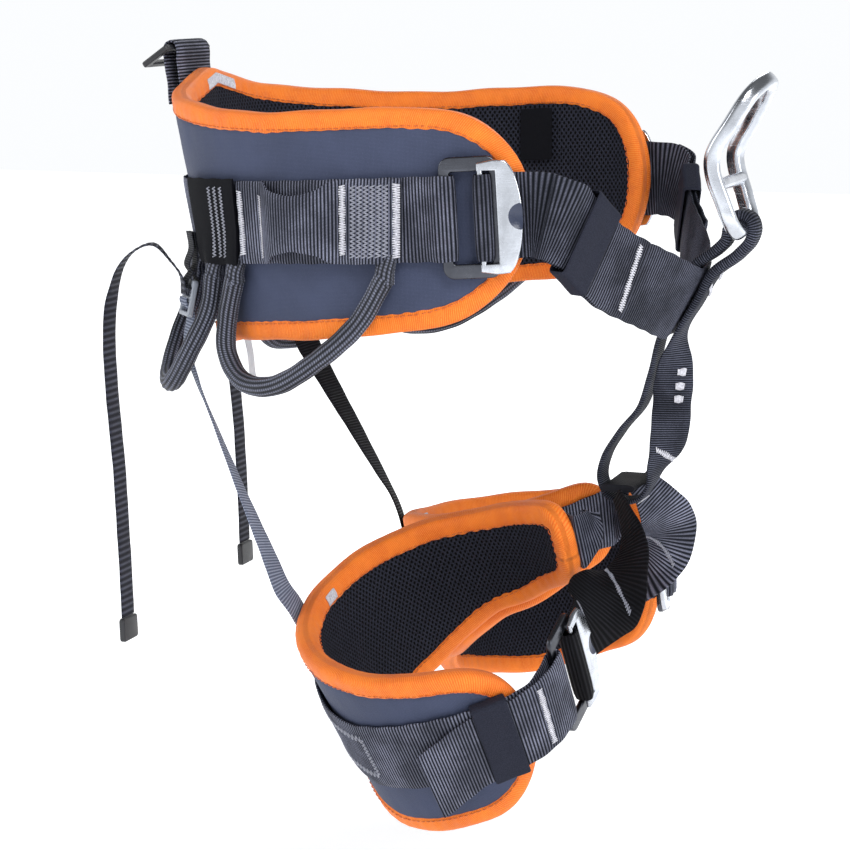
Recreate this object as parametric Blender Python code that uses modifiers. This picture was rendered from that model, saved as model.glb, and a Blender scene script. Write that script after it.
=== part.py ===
"""Tree climbing saddle: a padded waist belt, two padded leg loops and the ring that a climber's rope clips to.

Metres, +Z up. The wearer faces -Y, so the right-hand side of the saddle is at -X. The origin is the
middle of the waist opening, level with the belt's webbing. Each side is worked out for the left (+X)
and mirrored for the right.
"""

import math

import bmesh
import bpy
from mathutils import Matrix, Vector

# ---- driving dimensions ----
LAYER = 0.0021  # load webbing's thickness
GAP = 0.0004  # between two layers that lie on each other
CURVE_GAP = 0.0010  # between a pad and the webbing laid round it
WEB = 0.045  # load webbing's width
SHELL = 0.0054  # a pad's firm outer layer
LINER = 0.0050  # a pad's mesh lining
BINDING_R = 0.0050  # the tape that wraps a pad's edge
BINDING_OUT = BINDING_R + 0.0006  # from a pad's edge to the middle of its binding

BELT_HALF_PLAN = [  # outer face of the belt pad seen from above, from the back round to the left front
    (0.000, 0.128), (0.052, 0.122), (0.098, 0.094), (0.128, 0.044),
    (0.139, -0.020), (0.133, -0.078), (0.118, -0.112),
]
BELT_PAD_END = 0.308  # along the plan from the back to the pad's rounded end
BELT_ROUNDING = 0.060
BELT_TOP = (0.074, 0.050)  # webbing's middle to the pad's top edge, at the back and at the front
BELT_BOTTOM = (0.066, 0.049)
BELT_RISE = -0.060  # the belt climbs this much for each metre forward of the origin
BELT_LEAN = 0.20  # outward slope of the pad at the back
BELT_BUCKLE = 0.270  # along the plan from the back to the buckle frame's rear edge

STRAP_CROSSING = Vector((0.0, -0.1585, -0.052))  # where the front strap runs through the tie-in loop
STRAP_SLOPE = Vector((0.0, -0.48, 0.877))  # up the front strap's width there
JUNCTION = Vector((0.0, -0.124, -0.1590))  # where the leg loops hang in the tie-in loop
JUNCTION_HALF = 0.020

LEG_R = 0.0800  # outer face of a leg pad
LEG_LEAN = 0.10  # outward slope of a leg pad towards its top
LEG_EDGES = (  # angle in degrees, then the pad's bottom and top edge there
    (-133, 0.021, 0.051), (-90, -0.003, 0.043), (-41, -0.027, 0.043), (0, -0.045, 0.044),
    (60, -0.057, 0.042), (130, -0.043, 0.036),
)
LEG_PAD_INNER = math.radians(-133)  # angles round the thigh, from its back towards its outer side
LEG_PAD_OUTER = math.radians(130)
LEG_BUCKLE = math.radians(152)  # at the buckle frame's rear edge
LEG_BUCKLE_TURN = math.radians(24)
LEG_BUCKLE_INSET = -0.010  # the loop is flatter than round at its front
LEG_PLACES = {  # centre, how far the front is tipped up and how far the outer side hangs down
    "right": (Vector((0.0790, -0.054, -0.253)), math.radians(11), math.radians(22)),
    "left": (Vector((0.0850, -0.052, -0.240)), math.radians(11), math.radians(5)),
}

RISER_AT = 0.0800  # along the plan from the back to each riser
RISER_HALF = 0.0092
RISER_FOOT = {"right": 6, "left": -12}  # angle in degrees on the leg's wall
RISER_TAIL = {"right": (0.162, 0.157, -0.243), "left": (0.161, 0.154, -0.232)}  # bulge, then tip y, z

FRAME_WIDTH = 0.0310  # buckle frame, along the strap
FRAME_HALF = 0.0320
FRAME_THICK = 0.0030
FRAME_LIFT = 0.0049  # middle of the buckle frame above the wall
PLATE_LIFT = 0.0089
BAR_AT = 0.0220  # the plate's round bar, from the frame's rear edge
BAR_R = 0.0015

SIDES = ((-1, "right"), (1, "left"))

COLOURS = {
    "shell": ((0.075, 0.085, 0.115), 0.75, 0.0),
    "liner": ((0.020, 0.022, 0.030), 0.90, 0.0),
    "binding": ((0.90, 0.19, 0.02), 0.60, 0.0),
    "webbing": ((0.045, 0.046, 0.058), 0.70, 0.0),
    "elastic": ((0.16, 0.20, 0.27), 0.70, 0.0),
    "plastic": ((0.030, 0.032, 0.038), 0.40, 0.0),
    "label": ((0.82, 0.82, 0.84), 0.70, 0.0),
    "alloy": ((0.78, 0.80, 0.84), 0.22, 1.0),
    "dark_alloy": ((0.10, 0.11, 0.13), 0.30, 1.0),
}


# ---- shaping tools ----
def clear_scene():
    for obj in list(bpy.data.objects):
        bpy.data.objects.remove(obj)


def material(name):
    found = bpy.data.materials.get(name)
    if found:
        return found
    made = bpy.data.materials.new(name)
    made.use_nodes = True
    colour, rough, metal = COLOURS[name]
    shader = made.node_tree.nodes["Principled BSDF"]
    shader.inputs["Base Color"].default_value = (*colour, 1.0)
    shader.inputs["Roughness"].default_value = rough
    shader.inputs["Metallic"].default_value = metal
    return made


def place(obj, material_name):
    obj.data.materials.append(material(material_name))
    bpy.data.collections["climbing_saddle"].objects.link(obj)
    return obj


def smooth_line(points, step):
    """The points of a Catmull-Rom curve through the given ones, about step apart."""
    points = [Vector(p) for p in points]
    ends = [2 * points[0] - points[1], *points, 2 * points[-1] - points[-2]]
    line = []
    for a, b, c, d in zip(ends, ends[1:], ends[2:], ends[3:]):
        pieces = max(1, round((c - b).length / step))
        for k in range(pieces):
            t = k / pieces
            line.append(
                0.5 * (2 * b + (c - a) * t + (2 * a - 5 * b + 4 * c - d) * t * t
                       + (3 * b - a - 3 * c + d) * t ** 3)
            )
    return [*line, points[-1]]


def mirrored(point, side):
    return Vector((side * point[0], point[1], point[2]))


def solid_mesh(name, verts, faces, material_name):
    mesh = bpy.data.meshes.new(name)
    mesh.from_pydata([tuple(v) for v in verts], [], faces)
    mesh.validate()
    work = bmesh.new()
    work.from_mesh(mesh)
    bmesh.ops.recalc_face_normals(work, faces=work.faces)
    work.to_mesh(mesh)
    work.free()
    smooth(mesh)
    return place(bpy.data.objects.new(name, mesh), material_name)


def smooth(mesh):
    """Shades round stretches smooth and leaves real edges sharp."""
    mesh.shade_smooth()
    mesh.set_sharp_from_angle(angle=math.radians(35))


def sheet(name, rows, thickness, material_name):
    """An open surface through rows of points, thickened evenly to both sides."""
    across = len(rows[0])
    verts = [p for row in rows for p in row]
    faces = [
        (i * across + j, i * across + j + 1, (i + 1) * across + j + 1, (i + 1) * across + j)
        for i in range(len(rows) - 1)
        for j in range(across - 1)
    ]
    obj = solid_mesh(name, verts, faces, material_name)
    thicken = obj.modifiers.new("thickness", "SOLIDIFY")
    thicken.thickness = thickness
    thicken.offset = 0.0
    thicken.use_even_offset = True
    return obj


def band(name, stations, thickness, material_name):
    """A strap: stations are (middle, half-width vector) pairs along it."""
    rows = [(middle - half, middle + half) for middle, half in stations]
    return sheet(name, rows, thickness, material_name)


def tube(name, points, radius, material_name, closed=False, resolution=1):
    curve = bpy.data.curves.new(name, "CURVE")
    curve.dimensions = "3D"
    curve.bevel_depth = radius
    curve.bevel_resolution = resolution
    curve.use_fill_caps = not closed
    spline = curve.splines.new("POLY")
    spline.points.add(len(points) - 1)
    for target, point in zip(spline.points, points):
        target.co = (*point, 1.0)
    spline.use_cyclic_u = closed
    return place(bpy.data.objects.new(name, curve), material_name)


def as_mesh(obj):
    """The object as a plain mesh with welded caps, its modifiers and matrix applied."""
    bpy.context.view_layer.update()
    shown = obj.evaluated_get(bpy.context.evaluated_depsgraph_get())
    mesh = bpy.data.meshes.new_from_object(shown)
    mesh.transform(obj.matrix_world)
    name = obj.name
    bpy.data.objects.remove(obj)
    work = bmesh.new()
    work.from_mesh(mesh)
    bmesh.ops.remove_doubles(work, verts=work.verts, dist=1e-5)
    bmesh.ops.recalc_face_normals(work, faces=work.faces)
    work.to_mesh(mesh)
    work.free()
    smooth(mesh)
    made = bpy.data.objects.new(name, mesh)
    bpy.data.collections["climbing_saddle"].objects.link(made)
    return made


def plate(name, outlines, thickness, matrix, material_name):
    """A flat plate in its matrix's XY plane: the first outline is its edge, the others are holes."""
    curve = bpy.data.curves.new(name, "CURVE")
    curve.dimensions = "2D"
    curve.fill_mode = "BOTH"
    curve.extrude = thickness / 2
    for outline in outlines:
        spline = curve.splines.new("POLY")
        spline.points.add(len(outline) - 1)
        for target, point in zip(spline.points, outline):
            target.co = (point[0], point[1], 0.0, 1.0)
        spline.use_cyclic_u = True
    obj = place(bpy.data.objects.new(name, curve), material_name)
    obj.matrix_world = matrix
    return as_mesh(obj)


def rounded_box(x0, x1, y0, y1, radius, steps=3):
    """Outline of a rectangle with round corners, anticlockwise."""
    corners = ((x1, y1, 0), (x0, y1, 90), (x0, y0, 180), (x1, y0, 270))
    points = []
    for x, y, start in corners:
        middle = Vector((x - math.copysign(radius, x - (x0 + x1) / 2),
                         y - math.copysign(radius, y - (y0 + y1) / 2)))
        for k in range(steps + 1):
            angle = math.radians(start + 90 * k / steps)
            points.append(middle + radius * Vector((math.cos(angle), math.sin(angle))))
    return points


def union(target, *others):
    """Joins overlapping solids into the first one."""
    for other in others:
        join = target.modifiers.new("join", "BOOLEAN")
        join.operation = "UNION"
        join.object = other
    made = as_mesh(target)
    for other in others:
        bpy.data.objects.remove(other)
    return made


def body(name, pivot, *members):
    """Hangs the pieces that move together on an empty at their joint."""
    empty = bpy.data.objects.new(name + "_pivot", None)
    bpy.data.collections["climbing_saddle"].objects.link(empty)
    empty.location = pivot
    empty.empty_display_size = 0.01
    bpy.context.view_layer.update()
    for member in members:
        member.parent = empty
        member.matrix_parent_inverse = empty.matrix_world.inverted()
    return empty


# ---- the two walls that the textile parts are laid on ----
class Belt:
    """The belt's wall: s runs along the plan from the back (left is positive), z up and c outwards."""

    def __init__(self):
        left = smooth_line([Vector((x, y, 0)) for x, y in BELT_HALF_PLAN], 0.004)
        line = [mirrored(p, -1) for p in reversed(left[1:])] + left
        self.line = [Vector((p.x, p.y)) for p in line]
        self.along = [0.0]
        for a, b in zip(self.line, self.line[1:]):
            self.along.append(self.along[-1] + (b - a).length)
        middle = self.along[-1] / 2
        self.along = [s - middle for s in self.along]

    def plan(self, s):
        """The plan point at s and the unit tangent there."""
        last = len(self.line) - 2
        past = next((i for i, at in enumerate(self.along) if at > s), last + 1)
        index = min(last, max(0, past - 1))
        share = (s - self.along[index]) / (self.along[index + 1] - self.along[index])
        tangents = []
        for i in (index, index + 1):
            before, after = self.line[max(i - 1, 0)], self.line[min(i + 1, last + 1)]
            tangents.append((after - before).normalized())
        tangent = tangents[0].lerp(tangents[1], min(1.0, max(0.0, share))).normalized()
        return self.line[index].lerp(self.line[index + 1], share), tangent

    def back_share(self, s):
        """1 at the back of the belt, fading to 0 at its sides."""
        return max(0.0, 1.0 - abs(s) / 0.20) ** 2

    def at(self, s, z, c=0.0):
        point, tangent = self.plan(s)
        outward = Vector((-tangent.y, tangent.x))
        if outward.dot(point) < 0:
            outward = -outward
        lean = BELT_LEAN * max(0.0, 1.0 - (abs(s) / 0.22) ** 2)
        flat = point + outward * (c + lean * z)
        return Vector((flat.x, flat.y, z + BELT_RISE * point.y))

    def edges(self, s):
        """The pad's bottom and top edge at s, down and up from the webbing's middle."""
        past = min(1.0, max(0.0, (abs(s) - (BELT_PAD_END - BELT_ROUNDING)) / BELT_ROUNDING))
        rounding = (1 - past ** 2.3) ** (1 / 2.3)
        top = BELT_TOP[1] + (BELT_TOP[0] - BELT_TOP[1]) * self.back_share(s)
        bottom = BELT_BOTTOM[1] + (BELT_BOTTOM[0] - BELT_BOTTOM[1]) * max(0.0, 1 - abs(s) / 0.30)
        return -bottom * rounding, top * rounding

    def frame(self, s, z=0.0):
        """A flat frame on the left half of the wall: X runs forward, Y up and Z outward."""
        here, ahead = self.at(s, z), self.at(s + 0.030, z)
        forward = (ahead - here).normalized()
        up = Vector((0, 0, 1))
        outward = up.cross(forward).normalized()
        if outward.dot(Vector((here.x, here.y, 0))) < 0:
            outward = -outward
        up = (up - forward * up.dot(forward)).normalized()
        columns = Matrix((forward, up, outward)).transposed()
        return Matrix.Translation(here) @ columns.to_4x4()


class Leg:
    """A leg loop's wall, a cone round the thigh: s is an angle from the back of the thigh outwards."""

    def __init__(self, word):
        centre, front_up, outer_down = LEG_PLACES[word]
        turn = Matrix.Rotation(outer_down, 4, "Y") @ Matrix.Rotation(-front_up, 4, "X")
        self.matrix = Matrix.Translation(centre) @ turn

    def at(self, angle, z, c=0.0):
        radius = LEG_R + c + LEG_LEAN * z
        return self.matrix @ Vector((radius * math.sin(angle), radius * math.cos(angle), z))

    def sides(self, angle):
        """The pad's bottom and top edge before its ends are rounded: its inner end is narrow and high."""
        place = math.degrees(angle)
        here = min(len(LEG_EDGES) - 2, sum(row[0] < place for row in LEG_EDGES[1:]))
        first, second = LEG_EDGES[here], LEG_EDGES[here + 1]
        share = (place - first[0]) / (second[0] - first[0])
        ease = share if share < 0 or share > 1 else share * share * (3 - 2 * share)
        share = 0.5 * (share + ease)
        return [first[i] + (second[i] - first[i]) * share for i in (1, 2)]

    def edges(self, angle):
        bottom, top = self.sides(angle)
        middle = (bottom + top) / 2
        past_outer = min(1.0, max(0.0, (angle - LEG_PAD_OUTER) / 0.45 + 1))
        past_inner = min(1.0, max(0.0, (LEG_PAD_INNER - angle) / 0.16 + 1))
        rounding = (1 - past_outer ** 2.3) ** (1 / 2.3) * (1 - past_inner ** 3.5) ** (1 / 3.5)
        return middle + (bottom - middle) * rounding, middle + (top - middle) * rounding

    def frame(self, angle, z=0.0):
        """A flat frame on the wall: X runs towards larger angles, Y up the wall and Z outward."""
        here = self.at(angle, z)
        forward = (self.at(angle + 0.01, z) - self.at(angle - 0.01, z)).normalized()
        up = (self.at(angle, z + 0.01) - here).normalized()
        up = (up - forward * up.dot(forward)).normalized()
        outward = (self.at(angle, z, 0.01) - here).normalized()
        outward = (outward - up * outward.dot(up) - forward * outward.dot(forward)).normalized()
        columns = Matrix((forward, up, outward)).transposed()
        return Matrix.Translation(here) @ columns.to_4x4()


BELT = Belt()
LEGS = {word: Leg(word) for side, word in SIDES}


# ---- padded parts ----
def end_stations(first, last, roundings, step, end_steps=4):
    """Places along a pad, closer together in its round ends, and stopping just short of both tips."""
    places = []
    for end, sign, rounding in ((first, 1, roundings[0]), (last, -1, roundings[1])):
        shares = [0.02] + [1 - math.cos(math.pi / 2 * k / end_steps) for k in range(1, end_steps)]
        places.append([end + sign * rounding * share for share in shares])
    inner_first, inner_last = first + roundings[0], last - roundings[1]
    count = max(1, round((inner_last - inner_first) / step))
    middle = [inner_first + (inner_last - inner_first) * k / count for k in range(count + 1)]
    return places[0] + middle + places[1][::-1]


def pad_layer(name, wall, stations, outer, thickness, side, material_name, across=2):
    """One layer of a pad: outer is how far its outer face stands from the wall."""
    rows = []
    for s in stations:
        bottom, top = wall.edges(s)
        row = [bottom + (top - bottom) * k / (across - 1) for k in range(across)]
        rows.append([mirrored(wall.at(s, z, outer - thickness / 2), side) for z in row])
    return sheet(name, rows, thickness, material_name)


def edge_line(wall, stations, scale, clear, depth):
    """A closed line round a pad, clear outside its edge. scale turns s into metres along the wall."""
    bottom = [(s * scale, wall.edges(s)[0]) for s in stations]
    top = [(s * scale, wall.edges(s)[1]) for s in reversed(stations)]
    loop = [Vector(p) for p in bottom + top]
    line = []
    for before, here, after in zip(loop[-1:] + loop[:-1], loop, loop[1:] + loop[:1]):
        first, second = (here - before).normalized(), (after - here).normalized()
        mean = (first + second).normalized()
        outward = Vector((mean.y, -mean.x)) / max(0.6, mean.dot(first))
        point = here + outward * clear
        line.append(wall.at(point.x / scale, point.y, depth))
    return line


def belt_pad():
    stations = end_stations(-BELT_PAD_END, BELT_PAD_END, (BELT_ROUNDING, BELT_ROUNDING), 0.0124)
    middle = -(SHELL + LINER) / 2
    pad_layer("belt_pad_shell", BELT, stations, 0.0, SHELL, 1, "shell")
    pad_layer("belt_pad_liner", BELT, stations, -SHELL - GAP, LINER, 1, "liner")
    line = edge_line(BELT, stations, 1.0, BINDING_OUT, middle)
    tube("belt_pad_binding", line, BINDING_R, "binding", closed=True)


def leg_pad(side, word):
    wall = LEGS[word]
    stations = end_stations(LEG_PAD_INNER, LEG_PAD_OUTER, (0.16, 0.45), 0.15)
    middle = -(SHELL + LINER) / 2
    shell = pad_layer(f"{word}_leg_pad_shell", wall, stations, 0.0, SHELL, side, "shell")
    liner = pad_layer(f"{word}_leg_pad_liner", wall, stations, -SHELL - GAP, LINER, side, "liner")
    line = [mirrored(p, side) for p in edge_line(wall, stations, LEG_R, BINDING_OUT, middle)]
    binding = tube(f"{word}_leg_pad_binding", line, BINDING_R, "binding", closed=True)
    return [shell, liner, binding]


# ---- webbing ----
def wall_stations(wall, places, z=0.0, half=WEB / 2):
    """(middle, half-width vector) pairs on a wall for (s, c) places."""
    stations = []
    for s, c in places:
        low, high = wall.at(s, z - half, c), wall.at(s, z + half, c)
        stations.append(((low + high) / 2, (high - low) / 2))
    return stations


def frame_stations(matrix, places, half=WEB / 2, b=0.0):
    """(middle, half-width vector) pairs in a flat frame for (a, c) places in millimetres."""
    across = (matrix.to_3x3() @ Vector((0, 1, 0))).normalized() * half
    return [(matrix @ Vector((a / 1000, b, c / 1000)), across) for a, c in places]


def mirror_stations(stations, side):
    """Stations for one side: the left side's, or their mirror image with the edges kept in order."""
    return [(mirrored(middle, side), mirrored(half, side)) for middle, half in stations]


def spread(first, last, count):
    return [first + (last - first) * k / (count - 1) for k in range(count)]


def bar_wrap(middle_a, middle_c, radius, first, last, count):
    """(a, c) places in millimetres round a bar, from one angle to another."""
    return [(middle_a + radius * math.cos(math.radians(t)), middle_c + radius * math.sin(math.radians(t)))
            for t in spread(first, last, count)]


def belt_webbing():
    """The belt's load webbing: right buckle's rear bar, round the back, left buckle's rear bar."""
    flat = spread(0.0, BELT_BUCKLE - 0.0263, 20)
    left = wall_stations(BELT, [(s, CURVE_GAP + LAYER / 2) for s in flat])
    frame = BELT.frame(BELT_BUCKLE)
    left += frame_stations(frame, [
        (-12.5, 2.1), (-8, 3.6), (-4.5, 5.6), (-1.5, 7.6), (1, 8.0), (4.4, 8.0), (6.7, 7.3), (7.6, 4.9),
        (6.7, 2.6), (4.4, 1.75), (-2.5, 1.75),
    ])
    right = mirror_stations(left, -1)
    return band("belt_webbing", right[:0:-1] + left, LAYER, "webbing")


def belt_overlays(side, word):
    """The sleeve at the rear, and the strip whose middle stands off as the lanyard loop."""
    layer = CURVE_GAP + LAYER * 1.5 + 0.0007
    sleeve = [(s, layer) for s in spread(0.100, 0.146, 4)]
    band(f"{word}_belt_sleeve", mirror_stations(wall_stations(BELT, sleeve, half=0.0238), side), LAYER,
         "elastic")
    loop = []
    for s, c, half in (
        (0.149, 0, 22.5), (0.158, 0, 22.5), (0.167, 0.2, 22.5), (0.171, 3.5, 21.5), (0.177, 7.0, 18.0),
        (0.186, 8.6, 15.5), (0.196, 8.6, 15.5), (0.205, 7.0, 18.0), (0.211, 3.5, 21.5),
        (0.215, 0.2, 22.5), (0.225, 0, 22.5), (0.235, 0, 22.5), (0.243, 0.1, 22.5), (0.2495, 0.7, 22.5),
    ):
        loop += wall_stations(BELT, [(s, layer + c / 1000)], half=half / 1000)
    band(f"{word}_lanyard_loop", mirror_stations(loop, side), LAYER, "webbing")


def gear_loop(name, side, places, radius=0.0058):
    """A thick tubular loop hanging from the webbing's lower edge, through (s, z, c) places."""
    line = smooth_line([BELT.at(*place_at) for place_at in places], 0.011)
    line = [mirrored(p, side) for p in line]
    return body(name, (line[0] + line[-1]) / 2, tube(name, line, radius, "elastic"))


FRONT_GEAR_LOOP = (
    (0.142, -0.030, 0.0068), (0.133, -0.052, 0.0085), (0.133, -0.073, 0.012), (0.150, -0.088, 0.014),
    (0.177, -0.088, 0.014), (0.205, -0.073, 0.012), (0.227, -0.054, 0.009), (0.241, -0.030, 0.0068),
)
REAR_GEAR_LOOP = (
    (0.120, -0.030, 0.0068), (0.120, -0.050, 0.0135), (0.113, -0.072, 0.0250), (0.098, -0.091, 0.0330),
    (0.070, -0.091, 0.0330), (0.056, -0.072, 0.0250), (0.049, -0.050, 0.0135), (0.048, -0.032, 0.0068),
)


# ---- buckles ----
def buckle(prefix, matrix, side):
    """A frame with one wide opening, and the crescent plate that lies on it and carries the front strap."""
    matrix = Matrix.Scale(side, 4, Vector((1, 0, 0))) @ matrix
    width, half = FRAME_WIDTH, FRAME_HALF
    edge = rounded_box(0, width, -half, half, 0.006)
    opening = rounded_box(0.0055, width - 0.0045, -0.0242, 0.0242, 0.0015, steps=1)
    frame = plate(f"{prefix}_buckle_frame", [edge, opening], FRAME_THICK,
                  matrix @ Matrix.Translation((0, 0, FRAME_LIFT)), "dark_alloy")
    arc = [(0.0325 + 0.0110 * math.cos(t), 0.0305 * math.sin(t)) for t in
           (math.radians(a) for a in range(-75, 76, 15))]
    outline = [
        (0.0203, -0.0242), (0.0203, -0.0285), (0.0290, -0.0300), *arc,
        (0.0290, 0.0300), (0.0203, 0.0285), (0.0203, 0.0242), (0.0300, 0.0242), (0.0300, -0.0242),
    ]
    lift = matrix @ Matrix.Translation((0, 0, PLATE_LIFT))
    crescent = plate(f"{prefix}_buckle_plate", [outline], 0.0026, lift, "alloy")
    ends = [lift @ Vector((BAR_AT, b, 0)) for b in (-0.0262, 0.0262)]
    bar = as_mesh(tube(f"{prefix}_bar", ends, BAR_R, "alloy", resolution=2))
    crescent = union(crescent, bar)
    dimple = sphere_at(lift @ Vector((0.0420, 0, 0.0085)), 0.0090)
    crescent = difference(crescent, dimple)
    pivot = lift @ Vector((BAR_AT, 0, 0))
    return frame, body(f"{prefix}_buckle_plate", pivot, crescent)


def sphere_at(place_at, radius):
    mesh = bpy.data.meshes.new("cutter")
    work = bmesh.new()
    bmesh.ops.create_uvsphere(work, u_segments=16, v_segments=10, radius=radius)
    work.to_mesh(mesh)
    work.free()
    obj = bpy.data.objects.new("cutter", mesh)
    bpy.data.collections["climbing_saddle"].objects.link(obj)
    obj.matrix_world = Matrix.Translation(place_at)
    return obj


def difference(target, cutter):
    cut = target.modifiers.new("cut", "BOOLEAN")
    cut.operation = "DIFFERENCE"
    cut.object = cutter
    made = as_mesh(target)
    bpy.data.objects.remove(cutter)
    return made


PLATE_WRAP = (  # the front strap's end on the plate's bar, as (a, c) in millimetres of the buckle's frame
    (26.9, 8.0), (26.6, 9.4), (25.5, 10.9),
    *bar_wrap(BAR_AT * 1000, PLATE_LIFT * 1000, BAR_R * 1000 + 1.5, 65, 195, 5),
    (18.9, 6.0), (19.6, 3.7), (21.8, 2.2), (25.0, 1.85), (32.0, 1.85), (39.0, 1.75), (45.5, 1.4),
)


# ---- front: strap, ring and tie-in loop ----
def front_strap():
    """One strap from plate to plate, running through the tie-in loop between its two strands."""
    frame = BELT.frame(BELT_BUCKLE)
    wrap = frame_stations(frame, PLATE_WRAP)
    start = wrap[-1][0]
    ahead = (wrap[-1][0] - wrap[-2][0]).normalized()
    up = wrap[-1][1].normalized()
    target = STRAP_CROSSING + Vector((0.014, 0, 0))
    over_end = start + ahead * 0.018 - up * 0.005
    line = smooth_line([start, over_end, over_end.lerp(target, 0.36) + Vector((0.005, 0, -0.006)),
                        over_end.lerp(target, 0.72) + Vector((0.003, -0.003, -0.004)), target,
                        STRAP_CROSSING],
                       0.012)[1:]
    straps = list(wrap)
    for k, point in enumerate(line):
        share = (k + 1) / len(line)
        along = (line[min(k + 1, len(line) - 1)] - (line[k - 1] if k else start)).normalized()
        if k == len(line) - 1:
            along = Vector((-1, 0, 0))
        tilt = up.lerp(STRAP_SLOPE, share ** 1.5).normalized()
        tilt = (tilt - along * tilt.dot(along)).normalized()
        straps.append((point, tilt * WEB / 2))
    right = mirror_stations(straps, -1)
    band("front_strap", straps + right[-2::-1], LAYER, "webbing")
    return straps


def offset_stations(stations, distance, out):
    """The same strap moved off its face, towards the out direction."""
    moved = []
    for k, (middle, half) in enumerate(stations):
        along = stations[min(k + 1, len(stations) - 1)][0] - stations[max(k - 1, 0)][0]
        normal = along.cross(half).normalized()
        if normal.dot(out) < 0:
            normal = -normal
        moved.append((middle + normal * distance, half))
    return moved


def sleeve(name, middle, along, up, half_length, half_width, half_height, wall_thickness, material_name):
    """A flat sleeve round a strap: a short rectangular tube with round corners."""
    along = along.normalized()
    up = (up - along * up.dot(along)).normalized()
    out = along.cross(up)
    rings = []
    for end in (-half_length, half_length):
        for grow in (wall_thickness, 0.0):
            outline = rounded_box(-half_width - grow, half_width + grow, -half_height - grow,
                                  half_height + grow, 0.0008 + grow, steps=2)
            rings.append([middle + along * end + up * p.x + out * p.y for p in outline])
    count = len(rings[0])
    verts = [p for ring in rings for p in ring]
    faces = []
    for a, b in ((0, 1), (1, 3), (3, 2), (2, 0)):
        for i in range(count):
            j = (i + 1) % count
            faces.append((a * count + i, a * count + j, b * count + j, b * count + i))
    return solid_mesh(name, verts, faces, material_name)


def ventral_ring():
    """The forged ring: closed, bent halfway up, with a crossbar above the slot the tie-in loop sits in."""
    half = [
        (0.0, -0.1890, -0.0095), (0.0170, -0.1890, -0.0095), (0.0235, -0.1875, -0.0050),
        (0.0262, -0.1840, 0.0050), (0.0280, -0.1775, 0.0300), (0.0255, -0.1875, 0.0500),
        (0.0190, -0.1960, 0.0650), (0.0095, -0.2000, 0.0705), (0.0, -0.2010, 0.0720),
    ]
    line = [Vector(p) for p in half] + [mirrored(p, -1) for p in half[-2:0:-1]]
    ring = as_mesh(tube("ventral_ring", line, 0.0046, "alloy", closed=True, resolution=2))
    ends = [Vector((x, -0.1812, 0.0160)) for x in (-0.0265, 0.0265)]
    ring = union(ring, as_mesh(tube("crossbar", ends, 0.0036, "alloy", resolution=2)))
    return body("ventral_ring", Vector((0, -0.189, -0.0095)), ring)


TIE_IN_LOOP = (  # from its crest down the front and up behind: y and z, half-width in mm and twist in degrees
    (-0.1890, -0.0024, 8, 0), (-0.1940, -0.0044, 8, 0), (-0.1961, -0.0095, 8, 0), (-0.1945, -0.0165, 8, 0),
    (-0.1880, -0.0240, 8, 0), (-0.1745, -0.0345, 9, 0), (-0.1640, -0.0530, 9.5, 0),
    (-0.1535, -0.0740, 10, -12), (-0.1520, -0.0850, 10.5, -42), (-0.1510, -0.0970, 11, -70),
    (-0.1500, -0.1120, 11, -76), (-0.1490, -0.1280, 11, -68), (-0.1465, -0.1410, 10.5, -44),
    (-0.1410, -0.1510, 10, -14), (-0.1384, -0.1590, 9.5, 0), (-0.1330, -0.1670, 9.5, 0),
    (-0.1240, -0.1695, 9.5, 0), (-0.1150, -0.1670, 9.5, 0), (-0.1098, -0.1580, 9.5, 0),
    (-0.1120, -0.1440, 10.5, 0), (-0.1210, -0.1290, 11, 0), (-0.1330, -0.1130, 11, 0),
    (-0.1385, -0.0950, 10.5, 0), (-0.1440, -0.0730, 10, 0), (-0.1530, -0.0500, 9, 0),
    (-0.1645, -0.0300, 8, 0), (-0.1760, -0.0215, 8, 0), (-0.1805, -0.0165, 8, 0), (-0.1820, -0.0095, 8, 0),
    (-0.1840, -0.0044, 8, 0),
)


def tie_in_loop():
    verts = []
    for y, z, half, twist in TIE_IN_LOOP:
        wide = Matrix.Rotation(math.radians(twist), 3, "Z") @ Vector((half / 1000, 0, 0))
        verts += [Vector((0, y, z)) - wide, Vector((0, y, z)) + wide]
    count = len(TIE_IN_LOOP)
    faces = [(2 * i, 2 * i + 1, (i + 1) % count * 2 + 1, (i + 1) % count * 2) for i in range(count)]
    loop = solid_mesh("tie_in_loop", verts, faces, "webbing")
    thicken = loop.modifiers.new("thickness", "SOLIDIFY")
    thicken.thickness = 0.0030
    thicken.offset = 0.0
    thicken.use_even_offset = True
    stations = [(JUNCTION + Vector((x, 0, 0)), Vector((0, 0.0098, 0))) for x in
                (-JUNCTION_HALF, 0, JUNCTION_HALF)]
    band("leg_junction_strap", stations, 0.0040, "webbing")


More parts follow.
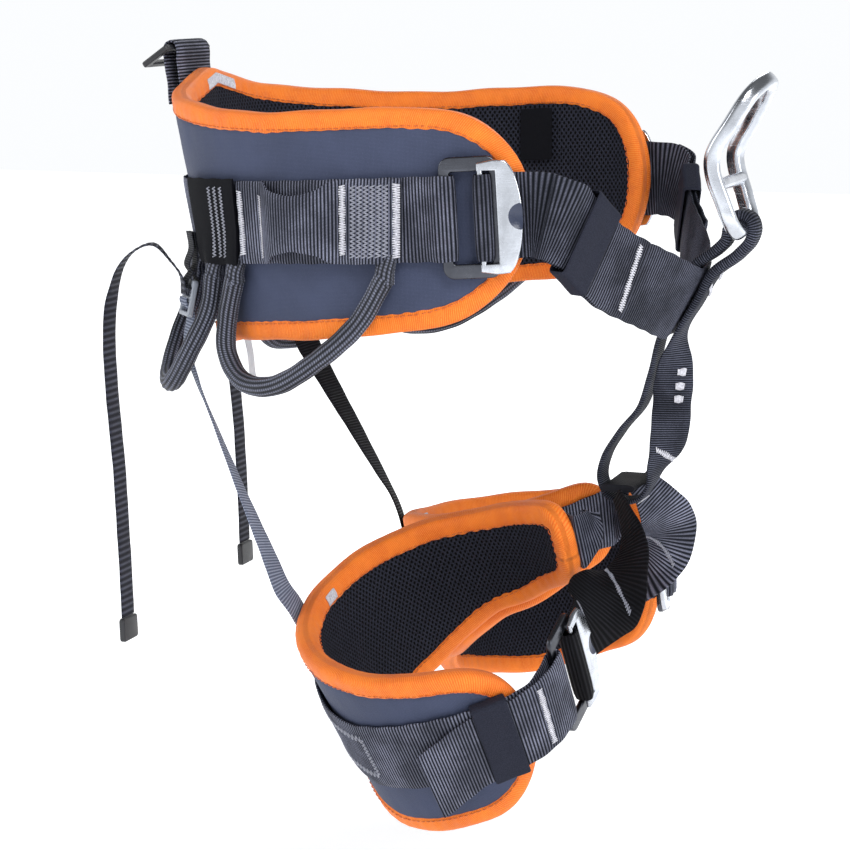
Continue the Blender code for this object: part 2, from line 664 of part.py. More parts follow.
# ---- rear: loop, ladder-locks and risers ----
def rear_loop():
    """The strap loop standing above the belt's back with the ring buckle hung in its bight."""
    out = CURVE_GAP + LAYER * 1.5 + 0.0007
    foot = [BELT.at(0, z, out) for z in (-0.020, 0.000, 0.024)]
    foot += [BELT.at(0, z, GAP + LAYER) for z in (0.045, 0.066)]
    up = [Vector((0, 0.1472, 0.0780))]
    centre, radius = Vector((0, 0.1515, 0.0870)), 0.0038
    bight = [centre + radius * Vector((0, -math.cos(t), math.sin(t))) for t in
             (math.radians(a) for a in (10, 50, 90, 130, 170))]
    down = [Vector((0, 0.1552, 0.0780)), Vector((0, 0.1535, 0.0660)), Vector((0, 0.1525, 0.0540))]
    stations = [(p, Vector((-WEB / 2, 0, 0))) for p in foot + up + bight + down]
    band("rear_loop_webbing", stations, LAYER, "webbing")
    angle = math.radians(145)
    lie = Matrix.Rotation(angle, 4, "X")
    matrix = Matrix.Translation(centre) @ lie
    edge = rounded_box(-0.0300, 0.0300, -0.0180, 0.0018, 0.0019)
    slot = rounded_box(-0.0245, 0.0245, -0.0140, -0.0018, 0.0015, steps=1)
    slide = plate("rear_slide_buckle", [edge, slot], 0.0034, matrix, "plastic")
    return body("rear_slide_buckle", centre, slide)


def care_label():
    stations = []
    for z in spread(-0.052, -0.097, 6):
        low, high = BELT.at(-0.062, z, -0.0135), BELT.at(-0.036, z, -0.0135)
        stations.append(((low + high) / 2, (high - low) / 2))
    band("care_label", stations, 0.0006, "label")


# ---- leg loops ----
def leg_webbing_line(wall):
    """The leg's load webbing from the junction along the pad to the buckle frame's rear bar and back."""
    stations = [(Vector((0.0305, JUNCTION.y + 0.0135, -0.1715)), Vector((0, 0.0065, 0)))]
    outer_face = CURVE_GAP + LAYER / 2
    inner = math.degrees(LEG_PAD_INNER)

    def on_wall(degrees, c, drop=0.0):
        angle = math.radians(degrees)
        bottom, top = wall.sides(angle)
        middle = (bottom + top) / 2
        middle = middle * (1 - min(1.0, max(0.0, (degrees - 60) / 45))) - drop
        half = WEB / 2 - 0.006 * min(1.0, max(0.0, (-60 - degrees) / 60))
        c += LEG_BUCKLE_INSET * 0.75 * min(1.0, max(0.0, (degrees - 134) / 14))
        c += 0.0010 * min(1.0, max(0.0, (degrees - 95) / 10))
        low, high = wall.at(angle, middle - half, c), wall.at(angle, middle + half, c)
        return (low + high) / 2, (high - low) / 2

    leaving = on_wall(inner - 6, outer_face)
    top = stations[0]
    for share in (0.30, 0.60, 0.85):
        middle = top[0].lerp(leaving[0], share) + Vector((-0.0044, -0.0038, 0.0)) * math.sin(math.pi * share)
        half = top[1].lerp(leaving[1], share ** 0.8)
        stations.append((middle, half))
    degrees = inner - 6
    while degrees < math.degrees(LEG_BUCKLE) - 14:
        stations.append(on_wall(degrees, outer_face))
        degrees += 8.6
    return stations, on_wall


def leg_loop(side, word):
    wall = LEGS[word]
    pad = leg_pad(side, word)
    stations, on_wall = leg_webbing_line(wall)
    frame = wall.frame(LEG_BUCKLE) @ Matrix.Translation((0, 0, LEG_BUCKLE_INSET))
    frame = frame @ Matrix.Rotation(LEG_BUCKLE_TURN, 4, "Y")
    stations += frame_stations(frame, [
        (-10, 1.5), (-3, 1.5), (4.4, 1.75), (6.7, 2.6), (7.6, 4.9), (6.7, 7.3), (4.4, 8.1), (0, 8.2),
        (-6, 7.9), (-12, 7.2),
    ])
    tail = [on_wall(*place_at) for place_at in (
        (138, 0.0066, 0.000), (130, 0.0052, 0.001), (121, 0.0046, 0.002), (112, 0.0046, 0.004),
        (104, 0.0056, 0.009), (97, 0.0076, 0.014), (91, 0.0096, 0.018),
    )]
    webbing = band(f"{word}_leg_webbing", mirror_stations(stations + tail, side), LAYER, "webbing")
    crotch = leg_front_strap(frame, side, word)
    holder, tilt = buckle(f"{word}_leg", frame, side)
    keeper_at, keeper_up = on_wall(121, 0.0033, 0.001)
    ahead = on_wall(117, 0.0033, 0.001)[0] - on_wall(125, 0.0033, 0.001)[0]
    keeper = sleeve(f"{word}_leg_keeper", mirrored(keeper_at, side), mirrored(ahead, side),
                    mirrored(keeper_up, side), 0.0100, WEB / 2 + 0.0030, 0.0032, 0.0009, "elastic")
    slide = body(f"{word}_leg_keeper", mirrored(keeper_at, side), keeper)
    body(f"{word}_leg_loop", JUNCTION, *pad, webbing, crotch, holder, tilt, slide)


def leg_front_strap(frame, side, word):
    """From the buckle's plate up to the junction, turning from lying on the thigh to hanging flat."""
    stations = frame_stations(frame, PLATE_WRAP)
    start, half = stations[-1]
    ahead = (start - stations[-2][0]).normalized()
    top = Vector((0.0240, JUNCTION.y - 0.0010, -0.1620))
    line = smooth_line([start, start + ahead * 0.012, start.lerp(top, 0.45) + Vector((-0.006, -0.014, 0.0)),
                        top.lerp(start, 0.22) + Vector((-0.003, -0.012, -0.004)), top], 0.010)[1:]
    flat = Vector((-0.8, 0.6, 0))
    before = start
    for k, point in enumerate(line):
        share = (k + 1) / len(line)
        turn = min(1.0, share / 0.75)
        along = (line[min(k + 1, len(line) - 1)] - before).normalized()
        wide = half.normalized().lerp(flat, turn * turn * (3 - 2 * turn))
        wide = (wide - along * wide.dot(along)).normalized()
        width = WEB / 2 if share < 0.5 else WEB / 2 - (WEB / 2 - 0.0098) * (share - 0.5) / 0.5
        stations.append((point, wide * width))
        before = point
    return band(f"{word}_leg_front_strap", mirror_stations(stations, side), LAYER, "webbing")


# ---- risers ----
def riser(side, word):
    """The elastic strap from the belt's ladder-lock down to the back of the leg loop, and its tail."""
    wall = LEGS[word]
    frame = BELT.frame(RISER_AT, -0.046)
    pivot = frame @ Vector((0, 0.0085, 0.0118))
    lie = Matrix.Translation(pivot) @ frame.to_3x3().to_4x4() @ Matrix.Rotation(math.radians(-12), 4, "X")
    edge = rounded_box(-0.0130, 0.0130, -0.0190, 0.0020, 0.0019)
    slots = [rounded_box(-0.0098, 0.0098, low, high, 0.0008, steps=1) for low, high in
             ((-0.0076, -0.0020), (-0.0164, -0.0112))]
    mirror = Matrix.Scale(side, 4, Vector((1, 0, 0)))
    lock = plate(f"{word}_riser_ladder_lock", [edge, *slots], 0.0030, mirror @ lie, "plastic")
    across = (lie.to_3x3() @ Vector((1, 0, 0))).normalized()

    hanger = []
    for up, out in ((-0.008, 0.0046), (-0.018, 0.0047), (-0.027, 0.0062)):
        hanger.append(BELT.at(RISER_AT, up, out))
    for t in spread(-160, 20, 7):
        angle = math.radians(t)
        hanger.append(lie @ Vector((0, 0.0033 * math.sin(angle), 0.0033 * math.cos(angle + math.pi))))
    for up, out in ((-0.0270, 0.0108), (-0.018, 0.0066), (-0.008, 0.0060)):
        hanger.append(BELT.at(RISER_AT, up, out))
    stations = [(p, across * 0.0080) for p in hanger]
    band(f"{word}_riser_hanger", mirror_stations(stations, side), 0.0009, "webbing")

    upper = [(-8.6, 2.9), (-10.8, 2.9), (-12.8, 1.6), (-13.8, 0.0), (-14.6, -1.6), (-16.4, -2.9),
             (-22, -3.1), (-30, -3.1)]
    stations = [(lie @ Vector((0, y / 1000, z / 1000)), across * RISER_HALF) for y, z in upper]
    start = stations[-1][0]
    angle = math.radians(RISER_FOOT[word])
    leg_across = (wall.at(angle + 0.07, 0.05) - wall.at(angle - 0.07, 0.05)).normalized()
    foot = [wall.at(angle, up, out) for up, out in
            ((0.066, 0.0040), (0.054, 0.0021), (0.042, 0.0018), (0.028, 0.0018))]
    line = smooth_line([start, start + Vector((0, -0.006, -0.026)), *foot], 0.020)[1:]
    for k, point in enumerate(line):
        share = min(1.0, (k + 1) / (len(line) - 3))
        along = (line[min(k + 1, len(line) - 1)] - (line[k - 1] if k else start)).normalized()
        wide = across.lerp(leg_across, share)
        wide = (wide - along * wide.dot(along)).normalized()
        stations.append((point, wide * RISER_HALF))
    band(f"{word}_riser_strap", mirror_stations(stations, side), 0.0014, "elastic")

    bulge, tip_y, tip_z = RISER_TAIL[word]
    first, second = lie @ Vector((0, -0.0070, 0.0032)), lie @ Vector((0, 0.0020, 0.0062))
    x = first.x
    tip = Vector((x - 0.001, tip_y, tip_z))
    line = smooth_line([first, second, Vector((x, bulge - 0.0270, -0.0225)), Vector((x, bulge - 0.0110, -0.0290)),
                        Vector((x, bulge - 0.0010, -0.0480)), Vector((x, bulge + 0.0030, -0.0850)),
                        first.lerp(tip, 0.6) + Vector((0, bulge - 0.143, 0)), tip], 0.0125)
    tail = []
    for k, point in enumerate(line):
        tail.append((point, across.lerp(Vector((1, 0, 0)), min(1.0, k / 7)).normalized() * 0.0078))
    strap = band(f"{word}_riser_tail", mirror_stations(tail, side), 0.0012, "elastic")
    down = (line[-1] - line[-2]).normalized()
    box = rounded_box(-0.0090, 0.0090, -0.0070, 0.0070, 0.0020)
    columns = Matrix((Vector((1, 0, 0)), -down, Vector((1, 0, 0)).cross(-down))).transposed().to_4x4()
    lay = Matrix.Translation(tip + down * 0.0075) @ columns
    end = plate(f"{word}_riser_tail_tip", [box], 0.0036, mirror @ lay, "plastic")
    body(f"{word}_riser_ladder_lock", mirrored(pivot, side), lock, strap, end)


def strap_folds(straps, side, word):
    """The front strap's folded-back end and the elastic keeper that holds it down."""
    fold = offset_stations(straps[len(PLATE_WRAP):-6], LAYER + 0.0013, Vector((0.3, -1, 0)))
    band(f"{word}_front_strap_fold", mirror_stations(fold, side)[::side], LAYER, "webbing")
    middle, half = fold[3]
    along = (fold[4][0] - fold[2][0]).normalized()
    inward = along.cross(half).normalized()
    if inward.y < 0:
        inward = -inward
    at = middle + inward * (LAYER + 0.0013) / 2
    keeper = sleeve(f"{word}_front_strap_keeper", mirrored(at, side), mirrored(along, side),
                    mirrored(half, side), 0.0120, WEB / 2 + 0.0024, LAYER + 0.0023, 0.0011, "elastic")
    return body(f"{word}_front_strap_keeper", mirrored(at, side), keeper)


def main():
    clear_scene()
    saddle = bpy.data.collections.new("climbing_saddle")
    bpy.context.scene.collection.children.link(saddle)
    belt_pad()
    belt_webbing()
    straps = front_strap()
    tie_in_loop()
    ventral_ring()
    rear_loop()
    care_label()
    for side, word in SIDES:
        belt_overlays(side, word)
        gear_loop(f"{word}_front_gear_loop", side, FRONT_GEAR_LOOP)
        gear_loop(f"{word}_rear_gear_loop", side, REAR_GEAR_LOOP)
        buckle(f"{word}_belt", BELT.frame(BELT_BUCKLE), side)
        strap_folds(straps, side, word)
        leg_loop(side, word)
        riser(side, word)


main()
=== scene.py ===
"""The looks of the tree climbing saddle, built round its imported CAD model.

Metres, +Z up, in the part's own frame: the wearer faces -Y and the right-hand side is at -X. The pads'
cloth, the webbing, the bindings and the stitching are laid on the same two walls as in the CAD source:
the belt's and the leg loops'. Each side is worked out for the left (+X) and mirrored for the right.
"""

import math

import bmesh
import bpy
import numpy as np
from mathutils import Matrix, Vector


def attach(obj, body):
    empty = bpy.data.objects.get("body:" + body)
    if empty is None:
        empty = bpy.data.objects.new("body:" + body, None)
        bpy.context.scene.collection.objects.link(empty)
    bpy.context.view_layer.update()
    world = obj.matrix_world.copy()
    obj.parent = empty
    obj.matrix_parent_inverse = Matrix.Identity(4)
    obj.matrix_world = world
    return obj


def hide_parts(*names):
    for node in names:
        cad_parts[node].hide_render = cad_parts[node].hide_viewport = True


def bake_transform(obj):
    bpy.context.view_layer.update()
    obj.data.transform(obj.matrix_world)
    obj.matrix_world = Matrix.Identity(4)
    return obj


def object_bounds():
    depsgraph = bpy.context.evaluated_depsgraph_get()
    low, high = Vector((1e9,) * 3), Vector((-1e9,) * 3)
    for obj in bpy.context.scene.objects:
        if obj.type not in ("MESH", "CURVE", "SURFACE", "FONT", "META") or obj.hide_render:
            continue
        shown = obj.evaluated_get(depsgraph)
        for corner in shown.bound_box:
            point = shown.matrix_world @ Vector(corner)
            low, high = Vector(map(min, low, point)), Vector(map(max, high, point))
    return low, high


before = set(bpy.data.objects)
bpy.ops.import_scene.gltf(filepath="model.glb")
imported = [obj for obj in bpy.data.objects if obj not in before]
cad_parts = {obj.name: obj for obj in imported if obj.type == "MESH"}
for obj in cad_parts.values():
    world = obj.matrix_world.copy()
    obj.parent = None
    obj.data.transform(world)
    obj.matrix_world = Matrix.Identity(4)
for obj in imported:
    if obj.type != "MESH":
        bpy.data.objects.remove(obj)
CAD_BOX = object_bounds()

# ---- the part's own dimensions ----
LAYER = 0.0021  # load webbing's thickness
GAP = 0.0004  # between two layers that lie on each other
CURVE_GAP = 0.0010  # between a pad and the webbing laid round it
WEB = 0.045  # load webbing's width
SHELL = 0.0054  # a pad's firm outer layer
LINER = 0.0050  # a pad's mesh lining
BELT_HALF_PLAN = [  # outer face of the belt pad seen from above, from the back round to the left front
    (0.000, 0.128), (0.052, 0.122), (0.098, 0.094), (0.128, 0.044),
    (0.139, -0.020), (0.133, -0.078), (0.118, -0.112),
]
BELT_PAD_END = 0.308  # along the plan from the back to the pad's rounded end
BELT_ROUNDING = 0.060
BELT_TOP = (0.074, 0.050)  # webbing's middle to the pad's top edge, at the back and at the front
BELT_BOTTOM = (0.066, 0.049)
BELT_RISE = -0.060  # the belt climbs this much for each metre forward of the origin
BELT_LEAN = 0.20  # outward slope of the pad at the back
BELT_BUCKLE = 0.270  # along the plan from the back to the buckle frame's rear edge
STRAP_CROSSING = Vector((0.0, -0.1585, -0.052))  # where the front strap runs through the tie-in loop
STRAP_SLOPE = Vector((0.0, -0.48, 0.877))  # up the front strap's width there
JUNCTION = Vector((0.0, -0.124, -0.1590))  # where the leg loops hang in the tie-in loop
JUNCTION_HALF = 0.020
JUNCTION_HALF_WIDTH = 0.0098
LEG_R = 0.0800  # outer face of a leg pad
LEG_LEAN = 0.10  # outward slope of a leg pad towards its top
LEG_EDGES = (  # angle in degrees, then the pad's bottom and top edge there
    (-133, 0.021, 0.051), (-90, -0.003, 0.043), (-41, -0.027, 0.043), (0, -0.045, 0.044),
    (60, -0.057, 0.042), (130, -0.043, 0.036),
)
LEG_PAD_INNER = math.radians(-133)  # angles round the thigh, from its back towards its outer side
LEG_PAD_OUTER = math.radians(130)
LEG_INNER_ROUNDING, LEG_OUTER_ROUNDING = 0.16, 0.45  # in radians
LEG_BUCKLE = math.radians(152)  # at the buckle frame's rear edge
LEG_BUCKLE_TURN = math.radians(24)
LEG_BUCKLE_INSET = -0.010  # the loop is flatter than round at its front
LEG_PLACES = {  # centre, how far the front is tipped up and how far the outer side hangs down
    "right": (Vector((0.0790, -0.054, -0.253)), math.radians(11), math.radians(22)),
    "left": (Vector((0.0850, -0.052, -0.240)), math.radians(11), math.radians(5)),
}
RISER_AT = 0.0800  # along the plan from the back to each riser
RISER_HALF = 0.0092
RISER_FOOT = {"right": 6, "left": -12}  # angle in degrees on the leg's wall
RISER_TAIL = {"right": (0.162, 0.157, -0.243), "left": (0.161, 0.154, -0.232)}  # bulge, then tip y, z
FRAME_LIFT = 0.0049  # middle of the buckle frame above the wall
PLATE_LIFT = 0.0089
BAR_AT = 0.0220  # the plate's round bar, from the frame's rear edge
BAR_R = 0.0015
SIDES = ((-1, "right"), (1, "left"))

# ---- the looks' own dimensions ----
RIB = 0.0019  # from one cross rib of the load webbing to the next
RIB_RISE = 0.00016
FINE_RIB = 0.0013
YARN = 0.00075
THREAD_R = 0.00036
TAPE_HALF = 0.0064  # half the width of a binding tape as it lies folded over an edge
TAPE_THICK = 0.0060  # half the thickness of the bound edge
TAPE_MIDDLE = 0.0028  # the tape's middle outside the pad's edge
PUCKER = 0.0085  # from one pucker along a binding to the next
PAD_MIDDLE = -(SHELL + LINER + GAP) / 2
CLOTH_CELL = 0.0050
CAP = 0.0052, 0.0050  # the most that a pad's cloth and its lining may swell
CLOTH_STEPS = 20
LINING_FREE = 0.5  # share of its full swelling that a lining keeps
CREASE = 0.00055
PUCKER_RISE = 0.00045
STRAP_COLUMNS = 8  # points across a strap's face
CORDS = 12  # round a tool loop
FOLD_OFF = LAYER + 0.0013  # from the front strap's middle to its folded end's
TAIL_WIDTH = 0.0156
UNIT_X, UNIT_Y, UNIT_Z = Vector((1, 0, 0)), Vector((0, 1, 0)), Vector((0, 0, 1))


def smooth_line(points, step):
    """The points of a Catmull-Rom curve through the given ones, about step apart."""
    points = [Vector(p) for p in points]
    ends = [2 * points[0] - points[1], *points, 2 * points[-1] - points[-2]]
    line = []
    for a, b, c, d in zip(ends, ends[1:], ends[2:], ends[3:]):
        pieces = max(1, round((c - b).length / step))
        for k in range(pieces):
            t = k / pieces
            line.append(
                0.5 * (2 * b + (c - a) * t + (2 * a - 5 * b + 4 * c - d) * t * t
                       + (3 * b - a - 3 * c + d) * t ** 3)
            )
    return [*line, points[-1]]


def mirrored(point, side):
    return Vector((side * point[0], point[1], point[2]))


def spread(first, last, count):
    return [first + (last - first) * k / (count - 1) for k in range(count)]


def clamp(value):
    return min(1.0, max(0.0, value))


def square_to(way, along):
    """The unit vector square to along that is nearest to a way."""
    return (way - along * way.dot(along)).normalized()


def axes(origin, x, y, z):
    """The matrix of a frame with these unit axes."""
    return Matrix.Translation(origin) @ Matrix((x, y, z)).transposed().to_4x4()


def turns(count):
    return np.linspace(0, 2 * math.pi, count, endpoint=False)


def along_line(points):
    """How far along a line each of its points lies."""
    gaps = np.maximum(np.linalg.norm(np.diff(points, axis=0), axis=1), 1e-6)
    return np.concatenate([[0.0], np.cumsum(gaps)])


def rounded(past, power):
    """How far open a pad's round end still is: 1 where it starts and 0 at its tip."""
    return (1 - clamp(past) ** power) ** (1 / power)


class Belt:
    """The belt's wall: s runs along the plan from the back (left is positive), z up and c outwards."""

    scale = 1.0  # from s to metres

    def __init__(self):
        left = smooth_line([Vector((x, y, 0)) for x, y in BELT_HALF_PLAN], 0.004)
        line = [mirrored(p, -1) for p in reversed(left[1:])] + left
        self.line = [Vector((p.x, p.y)) for p in line]
        self.along = [0.0]
        for a, b in zip(self.line, self.line[1:]):
            self.along.append(self.along[-1] + (b - a).length)
        middle = self.along[-1] / 2
        self.along = [s - middle for s in self.along]

    def plan(self, s):
        last = len(self.line) - 2
        past = next((i for i, at in enumerate(self.along) if at > s), last + 1)
        index = min(last, max(0, past - 1))
        share = (s - self.along[index]) / (self.along[index + 1] - self.along[index])
        tangents = []
        for i in (index, index + 1):
            before, after = self.line[max(i - 1, 0)], self.line[min(i + 1, last + 1)]
            tangents.append((after - before).normalized())
        tangent = tangents[0].lerp(tangents[1], clamp(share)).normalized()
        return self.line[index].lerp(self.line[index + 1], share), tangent

    def at(self, s, z, c=0.0):
        point, tangent = self.plan(s)
        outward = Vector((-tangent.y, tangent.x))
        if outward.dot(point) < 0:
            outward = -outward
        lean = BELT_LEAN * max(0.0, 1.0 - (abs(s) / 0.22) ** 2)
        flat = point + outward * (c + lean * z)
        return Vector((flat.x, flat.y, z + BELT_RISE * point.y))

    def edges(self, s):
        rounding = rounded((abs(s) - (BELT_PAD_END - BELT_ROUNDING)) / BELT_ROUNDING, 2.3)
        back_share = max(0.0, 1.0 - abs(s) / 0.20) ** 2
        top = BELT_TOP[1] + (BELT_TOP[0] - BELT_TOP[1]) * back_share
        bottom = BELT_BOTTOM[1] + (BELT_BOTTOM[0] - BELT_BOTTOM[1]) * max(0.0, 1 - abs(s) / 0.30)
        return -bottom * rounding, top * rounding

    def frame(self, s, z=0.0):
        """A flat frame on the left half of the wall: X runs forward, Y up and Z outward."""
        here = self.at(s, z)
        forward = (self.at(s + 0.030, z) - here).normalized()
        outward = UNIT_Z.cross(forward).normalized()
        if outward.dot(Vector((here.x, here.y, 0))) < 0:
            outward = -outward
        return axes(here, forward, square_to(UNIT_Z, forward), outward)


class Leg:
    """A leg loop's wall, a cone round the thigh: s is an angle from the back of the thigh outwards."""

    scale = LEG_R

    def __init__(self, word):
        centre, front_up, outer_down = LEG_PLACES[word]
        turn = Matrix.Rotation(outer_down, 4, "Y") @ Matrix.Rotation(-front_up, 4, "X")
        self.matrix = Matrix.Translation(centre) @ turn

    def at(self, angle, z, c=0.0):
        radius = LEG_R + c + LEG_LEAN * z
        return self.matrix @ Vector((radius * math.sin(angle), radius * math.cos(angle), z))

    def sides(self, angle):
        place = math.degrees(angle)
        here = min(len(LEG_EDGES) - 2, sum(row[0] < place for row in LEG_EDGES[1:]))
        first, second = LEG_EDGES[here], LEG_EDGES[here + 1]
        share = (place - first[0]) / (second[0] - first[0])
        ease = share if share < 0 or share > 1 else share * share * (3 - 2 * share)
        share = 0.5 * (share + ease)
        return [first[i] + (second[i] - first[i]) * share for i in (1, 2)]

    def webbing_at(self, angle):
        """The middle of the webbing: the pad's own middle, then level towards the buckle."""
        bottom, top = self.sides(angle)
        return (bottom + top) / 2 * (1 - clamp((math.degrees(angle) - 60) / 45))

    def edges(self, angle):
        bottom, top = self.sides(angle)
        middle = (bottom + top) / 2
        rounding = (rounded((angle - LEG_PAD_OUTER) / LEG_OUTER_ROUNDING + 1, 2.3)
                    * rounded((LEG_PAD_INNER - angle) / LEG_INNER_ROUNDING + 1, 3.5))
        return middle + (bottom - middle) * rounding, middle + (top - middle) * rounding

    def frame(self, angle, z=0.0):
        """A flat frame on the wall: X runs towards larger angles, Y up the wall and Z outward."""
        here = self.at(angle, z)
        forward = (self.at(angle + 0.01, z) - self.at(angle - 0.01, z)).normalized()
        up = square_to(self.at(angle, z + 0.01) - here, forward)
        return axes(here, forward, up, up.cross(forward))


BELT = Belt()
LEGS = {word: Leg(word) for side, word in SIDES}


# ---- materials ----
class Nodes:
    """Short ways to add nodes to a tree."""

    def __init__(self, tree):
        self.tree = tree

    def add(self, kind):
        return self.tree.nodes.new("ShaderNode" + kind)

    def put(self, socket, value):
        if isinstance(value, bpy.types.NodeSocket):
            self.tree.links.new(value, socket)
        elif isinstance(value, tuple):
            socket.default_value = (*value, 1.0)
        else:
            socket.default_value = value

    def split(self, vector):
        node = self.add("SeparateXYZ")
        self.put(node.inputs[0], vector)
        return node.outputs

    def span(self, value, low=0.3, high=0.7, to_low=0.0, to_high=1.0):
        """A value from low to high mapped smoothly onto another range."""
        node = self.add("MapRange")
        node.interpolation_type = "SMOOTHSTEP"
        for socket, number in zip(node.inputs, (value, low, high, to_low, to_high)):
            self.put(socket, number)
        return node.outputs[0]


class Look(Nodes):
    """A material. Its weave coordinates are lengths on the cloth."""

    def __init__(self, name, roughness, metallic=0.0, sheen=0.0, specular=0.5):
        self.material = bpy.data.materials.new(name)
        self.material.use_nodes = True
        super().__init__(self.material.node_tree)
        self.shader = self.tree.nodes["Principled BSDF"].inputs
        for socket, value in (("Roughness", roughness), ("Metallic", metallic), ("Sheen Weight", sheen),
                              ("Specular IOR Level", specular), ("Sheen Roughness", 0.45)):
            self.shader[socket].default_value = value

    def math(self, operation, first, second=0.0, third=0.0):
        node = self.add("Math")
        node.operation = operation
        for socket, value in zip(node.inputs, (first, second, third)):
            self.put(socket, value)
        return node.outputs[0]

    def times(self, first, second):
        return self.math("MULTIPLY", first, second)

    def plus(self, first, second):
        return self.math("ADD", first, second)

    def weave(self):
        node = self.add("UVMap")
        node.uv_map = "weave"
        return self.split(node.outputs[0])[:2]

    def wave(self, length, pitch, power=1.0):
        """0 to 1 and back over each pitch of a length."""
        turn = self.times(length, 2 * math.pi / pitch)
        wave = self.math("MULTIPLY_ADD", self.math("COSINE", turn), 0.5, 0.5)
        return wave if power == 1.0 else self.math("POWER", wave, power)

    def noise(self, scale, detail=3.0, rough=0.6, stretch=None):
        node = self.add("TexNoise")
        place = self.add("TexCoord").outputs["Object"]
        if stretch:
            mapping = self.add("Mapping")
            mapping.inputs["Scale"].default_value = stretch
            self.put(mapping.inputs["Vector"], place)
            place = mapping.outputs[0]
        for socket, value in (("Vector", place), ("Scale", scale), ("Detail", detail), ("Roughness", rough)):
            self.put(node.inputs[socket], value)
        return node.outputs["Fac"]

    def mix(self, share, first, second):
        node = self.add("Mix")
        node.data_type = "RGBA"
        for index, value in ((0, share), (6, first), (7, second)):
            self.put(node.inputs[index], value)
        return node.outputs[2]

    def colour(self, value):
        self.put(self.shader["Base Color"], value)

    def rough(self, value):
        self.put(self.shader["Roughness"], value)

    def bump(self, height, distance, strength=0.6, under=None):
        node = self.add("Bump")
        for socket, value in (("Distance", distance), ("Strength", strength), ("Height", height)):
            self.put(node.inputs[socket], value)
        if under is not None:
            self.put(node.inputs["Normal"], under)
        self.put(self.shader["Normal"], node.outputs[0])
        return node.outputs[0]


def ribbed_webbing(name, dark, light, pitch=RIB, share=0.55, worn=0.5, sheen=0.0):
    """Cross ribs with a painted highlight on their crests, made of yarns side by side, with fuzz and rubbed
    patches.
    """
    look = Look(name, 0.66, sheen=sheen, specular=0.14)
    along, across = look.weave()
    rib = look.wave(along, pitch, 1.6)
    yarns = look.wave(look.plus(across, look.times(along, 0.5 * YARN / pitch)), YARN)
    fuzz = look.noise(2200)
    # The light colour on the rib crests is a painted highlight; the rubbed patches make it stronger or
    # weaker at random.
    strength = look.times(rib, look.span(yarns, 0.0, 1.0, 0.55, 1.0))
    strength = look.times(strength, look.span(fuzz, 0.30, 0.66, 0.55, 1.1))
    rubbed = look.span(look.noise(38), 0.35, 0.70, share * (1 - worn), share * (1 + 0.5 * worn))
    look.colour(look.mix(look.times(strength, rubbed), dark, light))
    look.rough(look.span(rib, 0.0, 1.0, 0.80, 0.52))
    height = look.plus(look.times(rib, 0.7), look.times(yarns, 0.3))
    look.bump(look.plus(height, look.times(fuzz, 0.35)), 0.00022, 0.9)
    return look.material


def plain_elastic(name, dark, light):
    """A flat fine weave, smooth from afar."""
    look = Look(name, 0.74, specular=0.12)
    along, across = look.weave()
    first, second = (look.wave(look.math(way, along, across), 0.0009) for way in ("ADD", "SUBTRACT"))
    grain = look.times(look.plus(first, second), 0.5)
    fuzz = look.noise(1700)
    look.colour(look.mix(look.times(grain, look.span(fuzz, to_low=0.3)), dark, light))
    look.bump(look.plus(grain, look.times(fuzz, 0.5)), 0.00010, 0.7)
    return look.material


def pad_cloth(name):
    """Smooth coated cloth with a tight plain weave and faint creasing."""
    look = Look(name, 0.62, sheen=0.02, specular=0.18)
    along, across = look.weave()
    weave = look.times(look.wave(along, 0.0007), look.wave(across, 0.0007))
    blotch, fuzz = look.noise(22, 4.0), look.noise(1500)
    base = look.mix(look.span(blotch, 0.30, 0.72), (0.040, 0.050, 0.092), (0.056, 0.069, 0.124))
    # The weave's crossings take a lighter blue as a painted highlight; the blotches are the cloth's uneven
    # tone.
    look.colour(look.mix(look.times(weave, look.span(fuzz, to_low=0.15, to_high=0.6)), base,
                         (0.110, 0.130, 0.215)))
    look.rough(look.span(blotch, to_low=0.55, to_high=0.70))
    creases = look.bump(look.noise(95, 4.0, 0.55), 0.0012, 0.35)
    look.bump(look.plus(weave, look.times(fuzz, 0.4)), 0.00012, 0.7, under=creases)
    return look.material


def spacer_mesh(name):
    """Black spacer mesh: crossing cords round rows of open cells, which are painted near black as painted
    shade inside them.
    """
    look = Look(name, 0.80, specular=0.10)
    along, across = look.weave()
    slope = look.times(across, 0.75)
    rising, falling = (look.wave(look.math(way, along, slope), 0.0032) for way in ("ADD", "SUBTRACT"))
    cell = look.span(look.times(rising, falling), 0.18, 0.52)
    fuzz = look.noise(1600)
    cord = look.mix(look.span(fuzz), (0.010, 0.011, 0.017), (0.034, 0.037, 0.056))
    # Painted shade: the open cells are near black, darker than the cords.
    look.colour(look.mix(cell, cord, (0.0010, 0.0010, 0.0015)))
    look.bump(look.math("SUBTRACT", look.times(fuzz, 0.25), cell), 0.0011, 1.0)
    return look.material


def binding_tape(name):
    """Orange grosgrain tape: fine cross ribs whose crests carry a painted highlight over a blotchy orange.
    """
    look = Look(name, 0.55, sheen=0.08, specular=0.30)
    along, across = look.weave()
    rib = look.wave(look.plus(along, look.times(across, 0.25)), 0.0011)
    blotch, fuzz = look.noise(60, 4.0), look.noise(1900)
    base = look.mix(look.span(blotch, 0.32, 0.70), (0.78, 0.115, 0.003), (0.93, 0.185, 0.010))
    lit = look.times(rib, look.span(fuzz, to_low=0.25, to_high=0.85))
    # The lighter orange on the rib crests is a painted highlight.
    look.colour(look.mix(lit, base, (1.0, 0.35, 0.055)))
    look.rough(look.span(blotch, to_low=0.48, to_high=0.66))
    look.bump(look.plus(rib, look.times(fuzz, 0.4)), 0.00020, 0.9)
    return look.material


